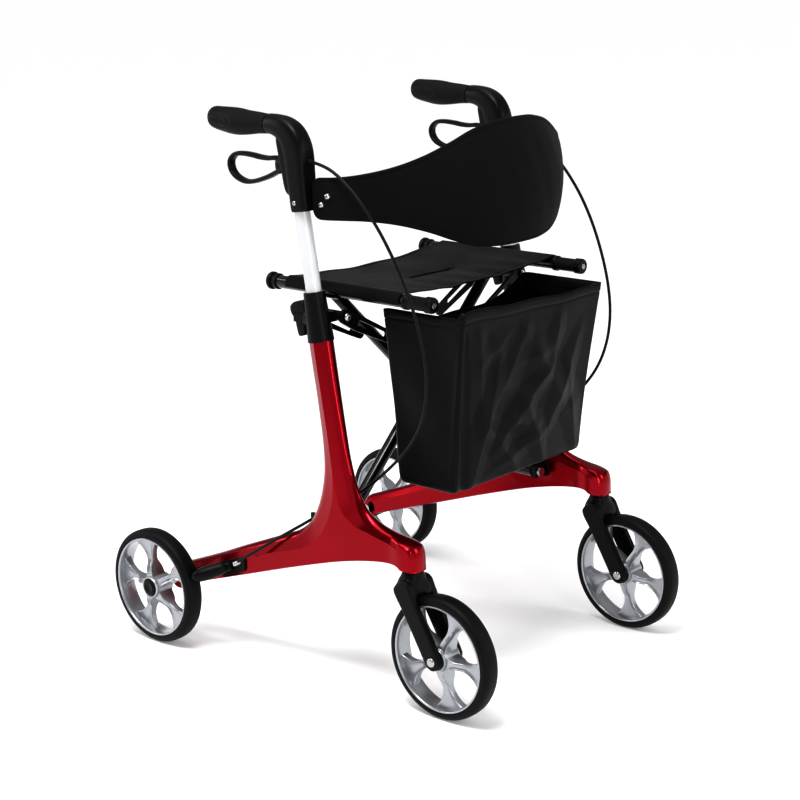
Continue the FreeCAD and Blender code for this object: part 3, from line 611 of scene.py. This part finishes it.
# x, radius and z of the middle
GRIP = [(-37.6, 13.0, 900.5), (-38.2, 14.8, 900.5), (-39.6, 15.5, 900.5), (-44, 15.7, 900.5),
        (-58, 16.8, 900.7), (-81, 19.0, 900), (-96, 20.6, 900.2), (-107, 21.2, 900.5), (-119, 21.0, 901),
        (-132, 20.0, 902), (-145, 18.9, 903), (-154, 17.9, 904), (-159, 16.6, 904.3), (-162.6, 14.0, 904.4),
        (-164.8, 10.4, 904.4), (-165.8, 6, 904.4), (-166.2, 0.5, 904.4)]
GRIP_SEAM = [(14.4, -38.4), (15.4, -38.2), (15.4, -36.9), (14.4, -36.6)]
THUMB_X = -134
LEVER = [(-8, 846), (-24, 848.4), (-40, 847), (-58, 847.5), (-75, 849.5), (-98, 850.6), (-114, 848.4),
         (-124.5, 840), (-126.4, 830), (-121.6, 819.5), (-110, 811.2), (-92, 806.6), (-74, 808.4),
         (-56, 813.2), (-38, 819.4), (-22, 826.6), (-8, 831)]
LEVER_ROOT = [(-20, 838.2, 8.6, 7.0, 3.4), (-8, 838.4, 10.2, 7.6, 3.6), (0, 838.5, 10.6, 7.6, 3.6),
              (6, 838.5, 9.6, 7.4, 3.4)]
FERRULE = [(0.4, 45), (3.9, 45), (4.1, 46), (4.1, 50), (3.4, 51), (3.4, 55), (2.6, 56), (2.6, 45)]
FERRULE_Z = 847.9
SCREW = [(0.4, 17.4), (1.6, 17.4), (1.9, 18.0), (3.0, 17.9), (3.7, 17.2), (3.7, 15)]
SCREW_AT = (28, 784)
BAND_SCREW = [(0.4, 245.2), (1.9, 244.4), (2.1, 246.2), (3.6, 245.8), (4.6, 244.6), (5.0, 242.6), (5.0, 239)]
BAND_SCREWS_AT = ((84, 797), (70, 783))
LUG = [(49, 770), (92, 770), (96, 774), (96, 804), (92, 808), (49, 808)]
LUG_Y = 232.2


def plate(outline, half, y, round_by):
    """Thick plate from an outline in the side plane, with rolled edges."""
    line = curve(outline, 6, closed=True)
    way = unit(np.roll(line, -1, 0) - np.roll(line, 1, 0))
    normal = np.stack([-way[:, 1], way[:, 0]], 1)
    normal *= np.sign(((line.mean(0) - line) * normal).sum(1))[:, None]
    rings = []
    for phi in np.linspace(-90, 90, 9):
        turn = math.radians(phi)
        at = line + normal * round_by * (1 - math.cos(turn))
        out = np.sign(phi) * (half - round_by + round_by * abs(math.sin(turn)))
        rings.append(np.stack([at[:, 0], np.full(len(at), y + out), at[:, 1]], 1))
    return skin(rings)


def dense(outline, gap=4.0):
    """Straight-sided outline with small rounded corners."""
    line = spaced(np.vstack([outline, outline[:1]]), gap)[:-1]
    for _ in range(2):
        line = (np.roll(line, 1, 0) + 2 * line + np.roll(line, -1, 0)) / 4
    return line


def grip_part():
    """Rubber sleeve with a hand's swell, and an oval of fine ribs on both flanks."""
    rings = []
    angle = circle(112)
    off_side = np.minimum(abs(angle - math.pi), np.minimum(angle, 2 * math.pi - angle))
    for x, r, z in curve(GRIP, 11):
        far = np.sqrt(((x - THUMB_X) / 25) ** 2 + (off_side / 0.52) ** 2)
        relief = -0.9 * np.exp(-((far - 1) / 0.11) ** 2)
        relief += 0.5 * math.cos(x * 1.1) * np.clip((0.62 - far) * 6, 0, 1)
        r = max(r, 0.4) + relief * (r > 6)
        wide = 1.0 - 0.05 * math.exp(-((x + 100) / 40) ** 2)
        flat = 1 - 0.05 * np.clip(np.cos(2 * angle), 0, 1) * math.exp(-((x + 140) / 22) ** 2)
        rings.append(np.stack([np.full(len(angle), x), r * wide * flat * np.cos(angle),
                               z + r * np.sin(angle)], 1))
    return merge(skin(rings), lathe(GRIP_SEAM, "x", (0, 0, GRIP_Z), 48))


housing_skin = remeshed(merge(sweep(curve(HOUSING, 5), m=48), plate(FIN, 14.6, 0, 5.0)), 1.4, 3)
lever_loop = sweep(curve([(*p, 3.7, 7.4, 3.0) for p in LEVER], 5, closed=True), closed=True, m=28)
lever_part = merge(lever_loop, sweep(curve(LEVER_ROOT, 4), m=28))
grip_skin = grip_part()
for word, side in SIDES:
    y = side * SIDE_Y
    shift = (0, y, 0)
    body = word + "_handlebar"
    build(word + "_housing", moved(housing_skin, shift=shift), "black_plastic", body, [word + "_handle"],
          angle=60)
    build(word + "_grip_sleeve", moved(grip_skin, shift=shift), "grip_rubber", body, [word + "_grip"],
          angle=60)
    build(word + "_lever_loop", moved(lever_part, shift=shift), "black_plastic", word + "_lever",
          [word + "_brake_lever"], angle=60)
    build(word + "_ferrule", lathe(FERRULE, "x", (0, y, FERRULE_Z), 28), "black_plastic", body)
    build(word + "_housing_screw", outward(SCREW, side, *SCREW_AT, y, 28), "steel", body)
    heads = merge(*[outward(BAND_SCREW, side, x, z, m=30) for x, z in BAND_SCREWS_AT])
    build(word + "_band_screws", heads, "steel", body, [word + "_handle_screws"], angle=30)
    build(word + "_band_lug", plate(dense(LUG), 1.7, side * LUG_Y, 0.6), "black_cast", body, angle=30)


# --- clamp levers, brakes and link bolts --------------------------------------------------------

CLAMP = [(0, 618), (9, 626), (27, 630), (34, 622), (34, 606), (31, 574), (18, 571), (14, 584), (11, 598),
         (2, 607)]
# x, z, half size in the plane, half size across and roundness power
CLAMP_HEAD = [(26, 604, 5, 7, 3), (32, 603, 11, 11, 4), (40, 602, 12.5, 12, 4), (48, 601, 12, 11, 4)]
BRAKE_PLATE = [(-196, 126), (-160, 137), (-124, 150), (-122, 153), (-122, 173), (-126, 176), (-160, 163),
               (-192, 151), (-197, 147), (-198, 130)]
PLATE_Y = 260.6
# x, outward y, z and radius along each round bar of a brake
MOUNT = [(-158, 258, 152, 7.5), (-158, 266, 153, 8.2), (-158, 274, 153, 6)]
ADJUSTER = [(-146, 264, 159, 4.2), (-138, 261, 163, 4.2), (-130, 258, 167, 3.4), (-124, 256, 170, 2.7)]
PAD = [(-160, 267, 156, 1.5), (-162, 270, 154, 6.5), (-164, 274.5, 151.6, 9.8), (-174, 286.5, 147.6, 11.8),
       (-184, 298.5, 143.4, 12.0), (-191, 307, 140.6, 10.4), (-195.8, 312.6, 138.6, 6.4),
       (-197.4, 314.4, 138.0, 1.0)]
DOME = [(0.4, 3.4), (2.6, 3.3), (4.8, 2.3), (6.3, 0.6), (6.5, -2)]
LINK_FACE = {"right": 91.4, "left": 98.4}


def along(path, side, m=30):
    """Round bar through rows of x, outward y, z and radius."""
    rows = curve([(x, side * out, z, r) for x, out, z, r in path], 5)
    cos, sin = np.cos(circle(m))[:, None], np.sin(circle(m))[:, None]
    rings = []
    for row, t in zip(rows, unit(np.gradient(rows[:, :3], axis=0))):
        u = np.cross(t, (0, 0, 1.0))
        u /= np.linalg.norm(u)
        v = np.cross(t, u)
        rings.append(row[:3] + row[3] * (cos * u + sin * v))
    return skin(rings)


for word, side in SIDES:
    y = side * SIDE_Y
    knob = merge(plate(dense(CLAMP, 3.0), 9.0, y, 2.2), sweep(CLAMP_HEAD, y))
    build(word + "_clamp_knob", knob, "black_plastic", word + "_clamp", [word + "_clamp_lever"], angle=30)
    mount = merge(plate(dense(BRAKE_PLATE), 1.9, side * PLATE_Y, 0.8), along(MOUNT, side))
    build(word + "_brake_mount", mount, "black_plastic", word + "_frame", [word + "_brake_body"], angle=30)
    build(word + "_brake_adjuster", along(ADJUSTER, side, 22), "steel", word + "_frame")
    build(word + "_brake_pad", along(PAD, side), "black_cast", word + "_shoe", [word + "_brake_shoe"],
          angle=50)

for word, side in SIDES:
    dome = lathe(DOME, "x", (LINK_FACE[word], side * LINK_Y, LINK_Z), 32)
    build(word + "_link_bolt", dome, "steel", word + "_link")


# --- rail ends ----------------------------------------------------------------------------------

RAIL_BODY = {"right": "arm_b", "left": "arm_a"}
# radius and x of the sleeve and cap in front, of the cap behind, and of the plug in the front cap
FRONT_END = [(10.6, 187), (12.0, 187.4), (12.6, 188.6), (12.6, 195), (12.0, 196.2), (10.9, 197),
             (10.9, 230.6), (11.8, 231.6), (12.7, 233), (12.8, 243), (12.2, 245.2), (10.6, 246.4),
             (6.0, 246.6), (5.4, 245.8), (0.4, 245.8)]
REAR_END = [(0.4, -105), (10.5, -105), (13.4, -104.2), (14.5, -102.4), (14.5, -98.6), (13.4, -97),
            (11.0, -96.4), (10.6, -93.4), (12.0, -92.4), (13.0, -91.2), (13.0, -85.4), (12.0, -84.2),
            (10.4, -83.8)]
PLUG = [(5.2, 245.0), (5.0, 246.8), (4.4, 247.4), (2.6, 247.4), (2.0, 246.4), (0.4, 246.4)]

for word, body in RAIL_BODY.items():
    _, y, z = middle(word + "_seat_rail")
    ends = merge(*[lathe(profile, "x", (0, y, z), 48) for profile in (FRONT_END, REAR_END)])
    build(word + "_rail_ends", ends, "black_plastic", body, [word + "_rail_caps"], angle=30)
    build(word + "_rail_plug", lathe(PLUG, "x", (0, y, z), 6), "steel", body, angle=20)


# --- brake cables -----------------------------------------------------------------------------

# x, distance inward from the side frame's plane, and z
CABLE = [(50, 0, 848), (78, 0, 844), (110, -2, 831), (143, -3, 808), (172, -3, 779), (200, -2, 743),
         (225, 0, 700), (246, 3, 652), (262, 6, 601), (269, 9, 550), (264, 13, 500), (247, 18, 455),
         (216, 23, 415), (181, 26, 382), (143, 26, 349), (104, 25, 319), (66, 24, 300), (36, 15, 279),
         (8, 2, 258.8), (-24, -12, 237.4), (-56, -23, 216), (-88, -31, 194.6), (-118, -37, 174.5)]
CABLE_R = 2.5

for word, side in SIDES:
    line = bpy.data.curves.new(word + "_cable", "CURVE")
    line.dimensions = "3D"
    line.resolution_u = 6
    line.bevel_depth = CABLE_R * MM
    line.bevel_resolution = 4
    line.use_fill_caps = True
    spline = line.splines.new("NURBS")
    spline.points.add(len(CABLE) - 1)
    for point, (x, inward, z) in zip(spline.points, CABLE):
        point.co = (x * MM, side * (SIDE_Y - inward) * MM, z * MM, 1)
    spline.order_u = 3
    spline.use_endpoint_u = True
    route = bpy.data.objects.new(word + "_route", line)
    scene.collection.objects.link(route)
    data = applied(route)
    bpy.data.objects.remove(route)
    data.shade_smooth()
    cable = bpy.data.objects.new(word + "_cable", data)
    scene.collection.objects.link(cable)
    dress(cable, "cable_sheath")
    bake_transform(cable)
    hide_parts(word + "_brake_cable")


# --- backrest band ----------------------------------------------------------------------------

# distance across from the middle, and z of the band's edge
BAND_TOP = [(0, 904), (28, 903.4), (54, 901.2), (97, 892), (133, 876), (164, 860.5), (195, 845), (219, 834),
            (234, 827), (243, 823)]
BAND_LOW = [(0, 708.8), (34, 708.9), (54, 709.4), (97, 714), (133, 727), (164, 742), (195, 754.5), (219, 760),
            (233, 760), (243, 758)]
BAND_DEPTH, BAND_HALF_Y, BAND_FOOT_X = 230.7, 240.5, 50.0
BAND_CORNER = 17.0
BAND_MID_Z, BAND_BARREL = 792, -20.8
# distance in from the edge of the rows and columns that carry the binding and the stitched line
INSETS = np.array([0.0, 0.35, 1.1, 2.2, 3.8, 5.2, 6.2, 7.0, 8.2, 10.5, 14.5, 21])
# distance in from the edge, and the half thickness there
BAND_THICK = [(0, 0), (0.35, 1.1), (1.1, 2.0), (2.2, 2.5), (3.6, 2.7), (5.0, 2.5), (5.9, 1.9), (6.4, 1.5),
              (7.2, 1.9), (9.5, 2.6), (16, 3.3), (40, 3.9)]


def band_part():
    """Padded band on an ellipse, with a bound edge and a stitched line inside it."""
    angles = np.linspace(-math.pi / 2, math.pi / 2, 721)
    line = np.stack([BAND_FOOT_X + BAND_DEPTH * np.cos(angles), BAND_HALF_Y * np.sin(angles)], 1)
    run = lengths(line)
    total = run[-1]
    top, low = curve(BAND_TOP, 8), curve(BAND_LOW, 8)

    def edges(s):
        """Lower and upper z of the band at a distance along it."""
        y = abs(np.interp(s, run, line[:, 1]))
        end = np.minimum(s, total - s)
        drop = BAND_CORNER - np.sqrt(np.maximum(BAND_CORNER ** 2 - (BAND_CORNER - end) ** 2, 0))
        cut = np.where(end < BAND_CORNER, drop, 0)
        return np.interp(y, low[:, 0], low[:, 1]) + cut, np.interp(y, top[:, 0], top[:, 1]) - cut

    s_dense = np.linspace(0, total, 1400)
    z_low, z_top = edges(s_dense)
    outline = np.vstack([np.stack([s_dense, z_low], 1), np.stack([s_dense, z_top], 1)[::-1],
                         [[0, z_low[0]]]])[::2]
    s_values = np.concatenate([INSETS, np.linspace(28, total - 28, 150), total - INSETS[::-1]])
    z0, z1 = edges(s_values)
    scale = np.minimum(1, np.maximum((z1 - z0) * 0.46, 1) / INSETS[-1])
    start, stop = z0 + INSETS[-1] * scale, z1 - INSETS[-1] * scale
    grid = np.array([z0 + inset * scale for inset in INSETS]
                    + [start + (stop - start) * t for t in np.linspace(0.08, 0.92, 18)]
                    + [z1 - inset * scale for inset in INSETS[::-1]])
    n_v, n_s = grid.shape
    s, z = np.tile(s_values, n_v), grid.ravel()
    flat = np.stack([s, z], 1)
    gap = distance(flat, outline)
    thick = np.interp(gap, *np.array(BAND_THICK).T)
    wander = (0.5 * np.sin(s * 0.061 + z * 0.021) + 0.35 * np.sin(s * 0.023 - z * 0.047 + 2)
              + 0.25 * np.sin(s * 0.14 + z * 0.05 + 1)) * np.clip((gap - 8) / 30, 0, 1)
    angle = np.interp(s, run, angles)
    nx, ny = np.cos(angle) / BAND_DEPTH, np.sin(angle) / BAND_HALF_Y
    length = np.hypot(nx, ny)
    nx, ny = nx / length, ny / length
    px, py = np.interp(s, run, line[:, 0]), np.interp(s, run, line[:, 1])
    barrel = BAND_BARREL * ((z - BAND_MID_Z) / 100) ** 2 * np.clip((225 - np.abs(py)) / 80, 0, 1)
    sheets = []
    for way in (1, -1):
        out = barrel + wander + way * thick
        sheets.append(np.stack([px + nx * out, py + ny * out, z], 1))
    faces, count = [], n_v * n_s
    for i in range(n_v - 1):
        for j in range(n_s - 1):
            a, b, c, d = i * n_s + j, i * n_s + j + 1, (i + 1) * n_s + j + 1, (i + 1) * n_s + j
            faces.append([a, b, c, d])
            faces.append([d + count, c + count, b + count, a + count])
    return np.vstack(sheets), faces, np.vstack([flat, flat + (900, 0)]) * MM


points, faces, uvs = band_part()
band = mesh("backrest", points, faces, uvs=uvs, angle=60)
weld = band.modifiers.new("close", "WELD")
weld.merge_threshold = 0.02 * MM
band.data = applied(band)
band.modifiers.clear()
dress(band, "band_fabric")
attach(band, "right_handlebar")
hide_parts("backrest_band")
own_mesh(band)


# --- seat sling -------------------------------------------------------------------------------

_, RAIL_Y, RAIL_Z = middle("left_seat_rail")
WRAP_R = 12.6
SEAT_SAG = 11.0
HEM = [0, 1, 8, 9.4, 11]
# pull slot, shown as a deep fold, and the columns of points at its edges
SLOT_X, SLOT_HALF_Y, SLOT_DEEP = 77, 54, 11
SLOT_COLUMNS = [71.5, 73.1, 80.9, 82.5]
# x of the notch in each wrap, where the arm and the link reach the rail
NOTCH_X = {-1: 30, 1: 62}
NOTCH_HALF = 25


def wrap(side, angles):
    """Part of the tunnel round one rail."""
    return [(side * RAIL_Y + WRAP_R * math.cos(a), RAIL_Z + WRAP_R * math.sin(a)) for a in np.radians(angles)]


def seat_part():
    """Sling with a tunnel round each rail; points, faces and UVs of one sheet, and its flat size."""
    low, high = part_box("seat_sling")
    x0, x1 = low[0] * 1000, high[0] * 1000
    path = wrap(-1, np.linspace(196, 92, 18))
    for t in np.linspace(0, 1, 72)[1:-1]:
        path.append((-RAIL_Y + 2 * RAIL_Y * t, RAIL_Z + WRAP_R - SEAT_SAG * math.sin(math.pi * t) ** 0.8))
    path = np.array(path + wrap(1, np.linspace(88, -16, 18)))
    run = lengths(path)
    hem = np.array(HEM)
    xs = np.concatenate([x0 + hem, sorted([*np.linspace(x0 + 16, x1 - 16, 58), *SLOT_COLUMNS]),
                         x1 - hem[::-1]])
    edge_y = RAIL_Y - 4
    points, uvs = [], []
    for s, (y, z) in zip(run, path):
        free = max(0.0, 1 - (y / edge_y) ** 4)
        for x in xs:
            edge = min(x - x0, x1 - x)
            fold = 0.9 * math.sin(y * 0.11 + 0.35 * math.sin(x * 0.02)) * math.exp(-((x - 150) / 60) ** 2)
            fold += 1.0 * math.sin(y * 0.052 + x * 0.006 + 1.2) + 0.5 * math.sin(x * 0.045 + y * 0.02)
            fold += 1.5 * math.exp(-((edge - 4.5) / 3.5) ** 2) - 1.0 * math.exp(-((edge - 9.4) / 1.0) ** 2)
            fold -= 2.4 * math.exp(-((y - 10) / 60) ** 2 - ((x - SLOT_X) / 20) ** 2)
            fold -= (SLOT_DEEP * min(1, max(0, (SLOT_HALF_Y - abs(y)) / 8))
                     * min(1, max(0, (5.5 - abs(x - SLOT_X)) / 1.6)))
            points.append((x, y, z + free * fold))
            uvs.append((s * MM, x * MM))
    m = len(xs)
    faces = []
    for i, (y, z) in enumerate((path[1:] + path[:-1]) / 2):
        wrapped = z < RAIL_Z + 2 and abs(y) > RAIL_Y - 3
        for j, x in enumerate((xs[1:] + xs[:-1]) / 2):
            if not (wrapped and abs(x - NOTCH_X[-1 if y < 0 else 1]) < NOTCH_HALF):
                faces.append([i * m + j, (i + 1) * m + j, (i + 1) * m + j + 1, i * m + j + 1])
    return np.array(points), faces, uvs, run[-1], x1 - x0


points, faces, uvs, seat_wide, seat_long = seat_part()
seat = mesh("seat", points, faces, uvs=uvs, angle=70)
thickened(seat, 1.9, 0)
dress(seat, "seat_fabric")
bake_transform(seat)
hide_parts("seat_sling")


# --- bag --------------------------------------------------------------------------------------

# x of the rear and front panels, at the foot and at the top
BAG_BACK, BAG_FRONT = (151, 127), (266, 295)
BAG_FOOT_R, BAG_LEAN = 13, 22
# points round each of the four corners, and along the long and the short panels
BAG_CORNER, BAG_SIDE, BAG_END = 9, 124, 34
# creases: y and z of the middle, direction in degrees, height, half width and half length
CREASES = ((-70, 500, 58, 11, 34, 120), (-15, 450, 44, 9, 26, 110), (35, 500, -50, 9, 30, 120),
           (90, 470, 64, 9, 30, 110), (15, 405, -58, 9, 24, 100), (-112, 430, 76, 9, 26, 150),
           (125, 420, -70, 7, 26, 110), (-60, 385, -48, 8, 22, 80), (60, 560, 78, 5, 20, 70),
           (-158, 440, -86, -6, 9, 330), (-128, 520, 96, 6, 20, 150), (-20, 375, 18, 6, 16, 90),
           (-90, 560, 30, 5, 22, 60), (10, 530, 8, 5, 26, 70), (-45, 430, -20, 7, 18, 60))


def crease(y, z, row):
    """Height of one crease: a ridge that narrows and fades towards its ends."""
    mid_y, mid_z, degrees, height, wide, long = row
    c, s = math.cos(math.radians(degrees)), math.sin(math.radians(degrees))
    on_line = (y - mid_y) * c + (z - mid_z) * s
    off_line = -(y - mid_y) * s + (z - mid_z) * c
    fade = np.clip(1 - np.abs(on_line) / long, 0, 1)
    return height * fade * np.clip(1 - np.abs(off_line) / (wide * (0.4 + fade)), 0, 1)


def bag_plan(back, front, half_y, r):
    """Distances, x and y round the bag, evenly spread on each panel and corner."""
    plan = []
    for cx, cy, start in ((front - r, half_y - r, 0), (back + r, half_y - r, 90), (back + r, r - half_y, 180),
                          (front - r, r - half_y, 270)):
        for a in np.radians(np.linspace(start, start + 90, BAG_CORNER)):
            plan.append((cx + r * math.cos(a), cy + r * math.sin(a)))
    plan = np.array(plan + [plan[0]])
    run = lengths(plan)
    at = []
    for corner, count in enumerate((BAG_END, BAG_SIDE, BAG_END, BAG_SIDE)):
        first = corner * BAG_CORNER
        last = first + BAG_CORNER - 1
        at += list(np.linspace(run[first], run[last], BAG_CORNER, endpoint=False))
        at += list(np.linspace(run[last], run[last + 1], count, endpoint=False))
    return at, np.interp(at, run, plan[:, 0]), np.interp(at, run, plan[:, 1])


def bag_part():
    """Open bag: rounded oblong plan, narrower at the foot, with a hem, seams and soft creases."""
    low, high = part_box("bag")
    half = high[1] * 1000
    foot, top = low[2] * 1000, high[2] * 1000
    tall = top - foot
    rings, uvs = [], []
    heights = np.concatenate([[0, 1.5, 4, 8, BAG_FOOT_R], np.linspace(20, tall - 20, 86),
                              tall - np.array([17, 15.6, 14.6, 12, 0])])
    for h in heights:
        t = h / tall
        tuck = 5 * (1 - math.sqrt(max(0, 1 - (1 - min(h, BAG_FOOT_R) / BAG_FOOT_R) ** 2)))
        x_back = BAG_BACK[0] + (BAG_BACK[1] - BAG_BACK[0]) * t + tuck
        x_front = BAG_FRONT[0] + (BAG_FRONT[1] - BAG_FRONT[0]) * t - tuck
        at, x, y = bag_plan(x_back, x_front, half - 3 - 1.5 * (1 - t) - tuck, 7.5 - 1.5 * t)
        dx, dy = np.gradient(x), np.gradient(y)
        size = np.hypot(dx, dy) + 1e-9
        z = foot + h
        front = np.clip((x - x_front + 16) / 10, 0, 1)
        soft = math.sin(math.pi * min(1, max(0, t)) ** 0.8)
        wave = 3.2 * np.sin(y * 0.027 + 1.1 * t) * soft * front
        wave = wave + front * sum(crease(y, z, row) for row in CREASES)
        ends = 1.8 * np.sin(x * 0.05 + z * 0.02 + (y > 0)) + 1.2 * np.sin(z * 0.033 + x * 0.02)
        wave = wave + (1 - front) * ends * soft
        wave = wave * np.clip((top - 16 - z) / 22, 0, 1) + 0.8 * math.exp(-((top - z - 7) / 7) ** 2)
        wave = wave - 1.2 * math.exp(-((top - z - 15.4) / 0.9) ** 2)
        x, y = x + dy / size * wave, y - dx / size * wave
        near_top = max(0, t - 0.6) / 0.4
        behind = np.clip((x_back + 14 - x) / 14, 0, 1) * np.clip(1 - (y / half) ** 4, 0, 1)
        sag = 2.4 * np.sin(y / half * math.pi * 1.3) ** 2 * near_top + 38 * behind * near_top ** 2
        lifted = 10 * front * np.clip((60 - y) / 200, 0, 1) * near_top ** 2
        y = y - BAG_LEAN * (1 - t) * np.clip(y / half, 0, 1)
        rings.append(np.stack([x, y, z - sag + lifted], 1))
        uvs += [(s * MM, h * MM) for s in at]
    m = len(rings[0])
    points, faces = skin(rings, caps=False)
    centre = rings[0].mean(0)
    floor_rings = [centre + (rings[0] - centre) * share + (0, 0, 0.4) for share in (0.9, 0.6, 0.3)]
    base = len(points)
    points = np.vstack([points, *floor_rings, [centre]])
    uvs += [(p[0] * MM, p[1] * MM) for p in points[base:]]
    chain = [0, base, base + m, base + 2 * m]
    for a, b in zip(chain, chain[1:]):
        for k in range(m):
            n = (k + 1) % m
            faces.append([b + k, b + n, a + n, a + k])
    last = len(points) - 1
    faces += [[last, chain[-1] + (k + 1) % m, chain[-1] + k] for k in range(m)]
    return points, faces, uvs


points, faces, uvs = bag_part()
bag = mesh("bag_cloth", points, faces, uvs=uvs, angle=70)
thickened(bag, 1.6, -1)
dress(bag, "bag_fabric")
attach(bag, "bag")
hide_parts("bag")
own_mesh(bag)


# --- carried-over parts -----------------------------------------------------------------------

slots = {row["node"]: row["material_slot"] for row in frame["record"]["subparts"]}
for name, obj in nodes.items():
    dress(obj, slots[name])
    if not obj.hide_render:
        obj.data.shade_smooth()
        obj.data.set_sharp_from_angle(angle=math.radians(34))
        bevel(obj, 0.7 if "axle" in name else 1.0)


# --- stage, light and camera ------------------------------------------------------------------

def floor_finish():
    """White studio floor that glows a little, so that it stays white at the edges."""
    mat, shader = principled("floor")
    put(shader, {"Base Color": (0.90, 0.90, 0.905, 1), "Roughness": 0.55, "Specular IOR Level": 0.25,
                 "Emission Color": (1, 1, 1, 1), "Emission Strength": 0.12})
    return mat


FLOOR_HALF = 60
floor_data = bpy.data.meshes.new("floor")
floor_data.from_pydata([(x * FLOOR_HALF, y * FLOOR_HALF, 0) for x, y in ((-1, -1), (1, -1), (1, 1), (-1, 1))],
                       [], [(0, 1, 2, 3)])
floor = bpy.data.objects.new("floor", floor_data)
scene.collection.objects.link(floor)
floor.data.materials.append(floor_finish())

world = bpy.data.worlds.new("studio")
world.use_nodes = True
scene.world = world
tree = world.node_tree
back = next(n for n in tree.nodes if n.type == "BACKGROUND")
place = tree.nodes.new("ShaderNodeTexCoord")
split = tree.nodes.new("ShaderNodeSeparateXYZ")
ramp = tree.nodes.new("ShaderNodeValToRGB")
ramp.color_ramp.elements.new(0.5)
# white at the horizon, a dark band above it that the dark parts mirror, and a soft grey top
SKY = ((0.16, (0.95, 0.95, 0.9595)), (0.24, (0.13, 0.13, 0.132)), (0.8, (0.46, 0.46, 0.4646)))
for element, (at, color) in zip(ramp.color_ramp.elements, SKY):
    element.position = at
    element.color = (*color, 1)
tree.links.new(place.outputs["Generated"], split.inputs[0])
tree.links.new(split.outputs["Z"], ramp.inputs["Fac"])
tree.links.new(ramp.outputs["Color"], back.inputs["Color"])
back.inputs["Strength"].default_value = 1.0


def lamp(name, place, target, size, size_y, energy):
    """Rectangular lamp that faces the target."""
    light = bpy.data.lights.new(name, "AREA")
    light.energy = energy
    light.size = size
    light.shape = "RECTANGLE"
    light.size_y = size_y
    obj = bpy.data.objects.new(name, light)
    obj.location = place
    obj.rotation_euler = (Vector(target) - Vector(place)).to_track_quat("-Z", "Y").to_euler()
    scene.collection.objects.link(obj)


lamp("key", (0.4, -1.2, 3.0), (0, 0, 0.3), 1.2, 0.7, 44)
lamp("side", (-2.6, -1.6, 1.7), (0, 0, 0.4), 0.5, 1.8, 20)
lamp("front", (2.6, 1.2, 1.6), (0, 0, 0.4), 0.45, 1.6, 14)
lamp("strip", (2.4, -0.9, 0.9), (0, -0.2, 0.4), 0.22, 1.7, 9)
sun = bpy.data.lights.new("overhead", "SUN")
sun.energy = 0.85
sun.angle = math.radians(40)
sun_obj = bpy.data.objects.new("overhead", sun)
sun_obj.rotation_euler = (math.radians(8), math.radians(-10), 0)
scene.collection.objects.link(sun_obj)

CAMERA_AT = (2.09307, -2.29506, 1.23804)
yaw, pitch, roll = 2.31011, 0.26033, -0.02746
ahead = np.array([math.cos(yaw) * math.cos(pitch), math.sin(yaw) * math.cos(pitch), -math.sin(pitch)])
level = np.array([math.sin(yaw), -math.cos(yaw), 0.0])
upright = np.cross(level, ahead)
across = level * math.cos(roll) + upright * math.sin(roll)
above = -level * math.sin(roll) + upright * math.cos(roll)
lens = bpy.data.cameras.new("camera")
lens.lens = 85.36
lens.sensor_width = 36
lens.clip_end = 200
camera = bpy.data.objects.new("camera", lens)
camera.matrix_world = Matrix([*np.stack([across, above, -ahead, CAMERA_AT], 1), (0, 0, 0, 1)])
scene.collection.objects.link(camera)
scene.camera = camera
scene.view_settings.view_transform = "Standard"
scene.view_settings.look = "High Contrast"
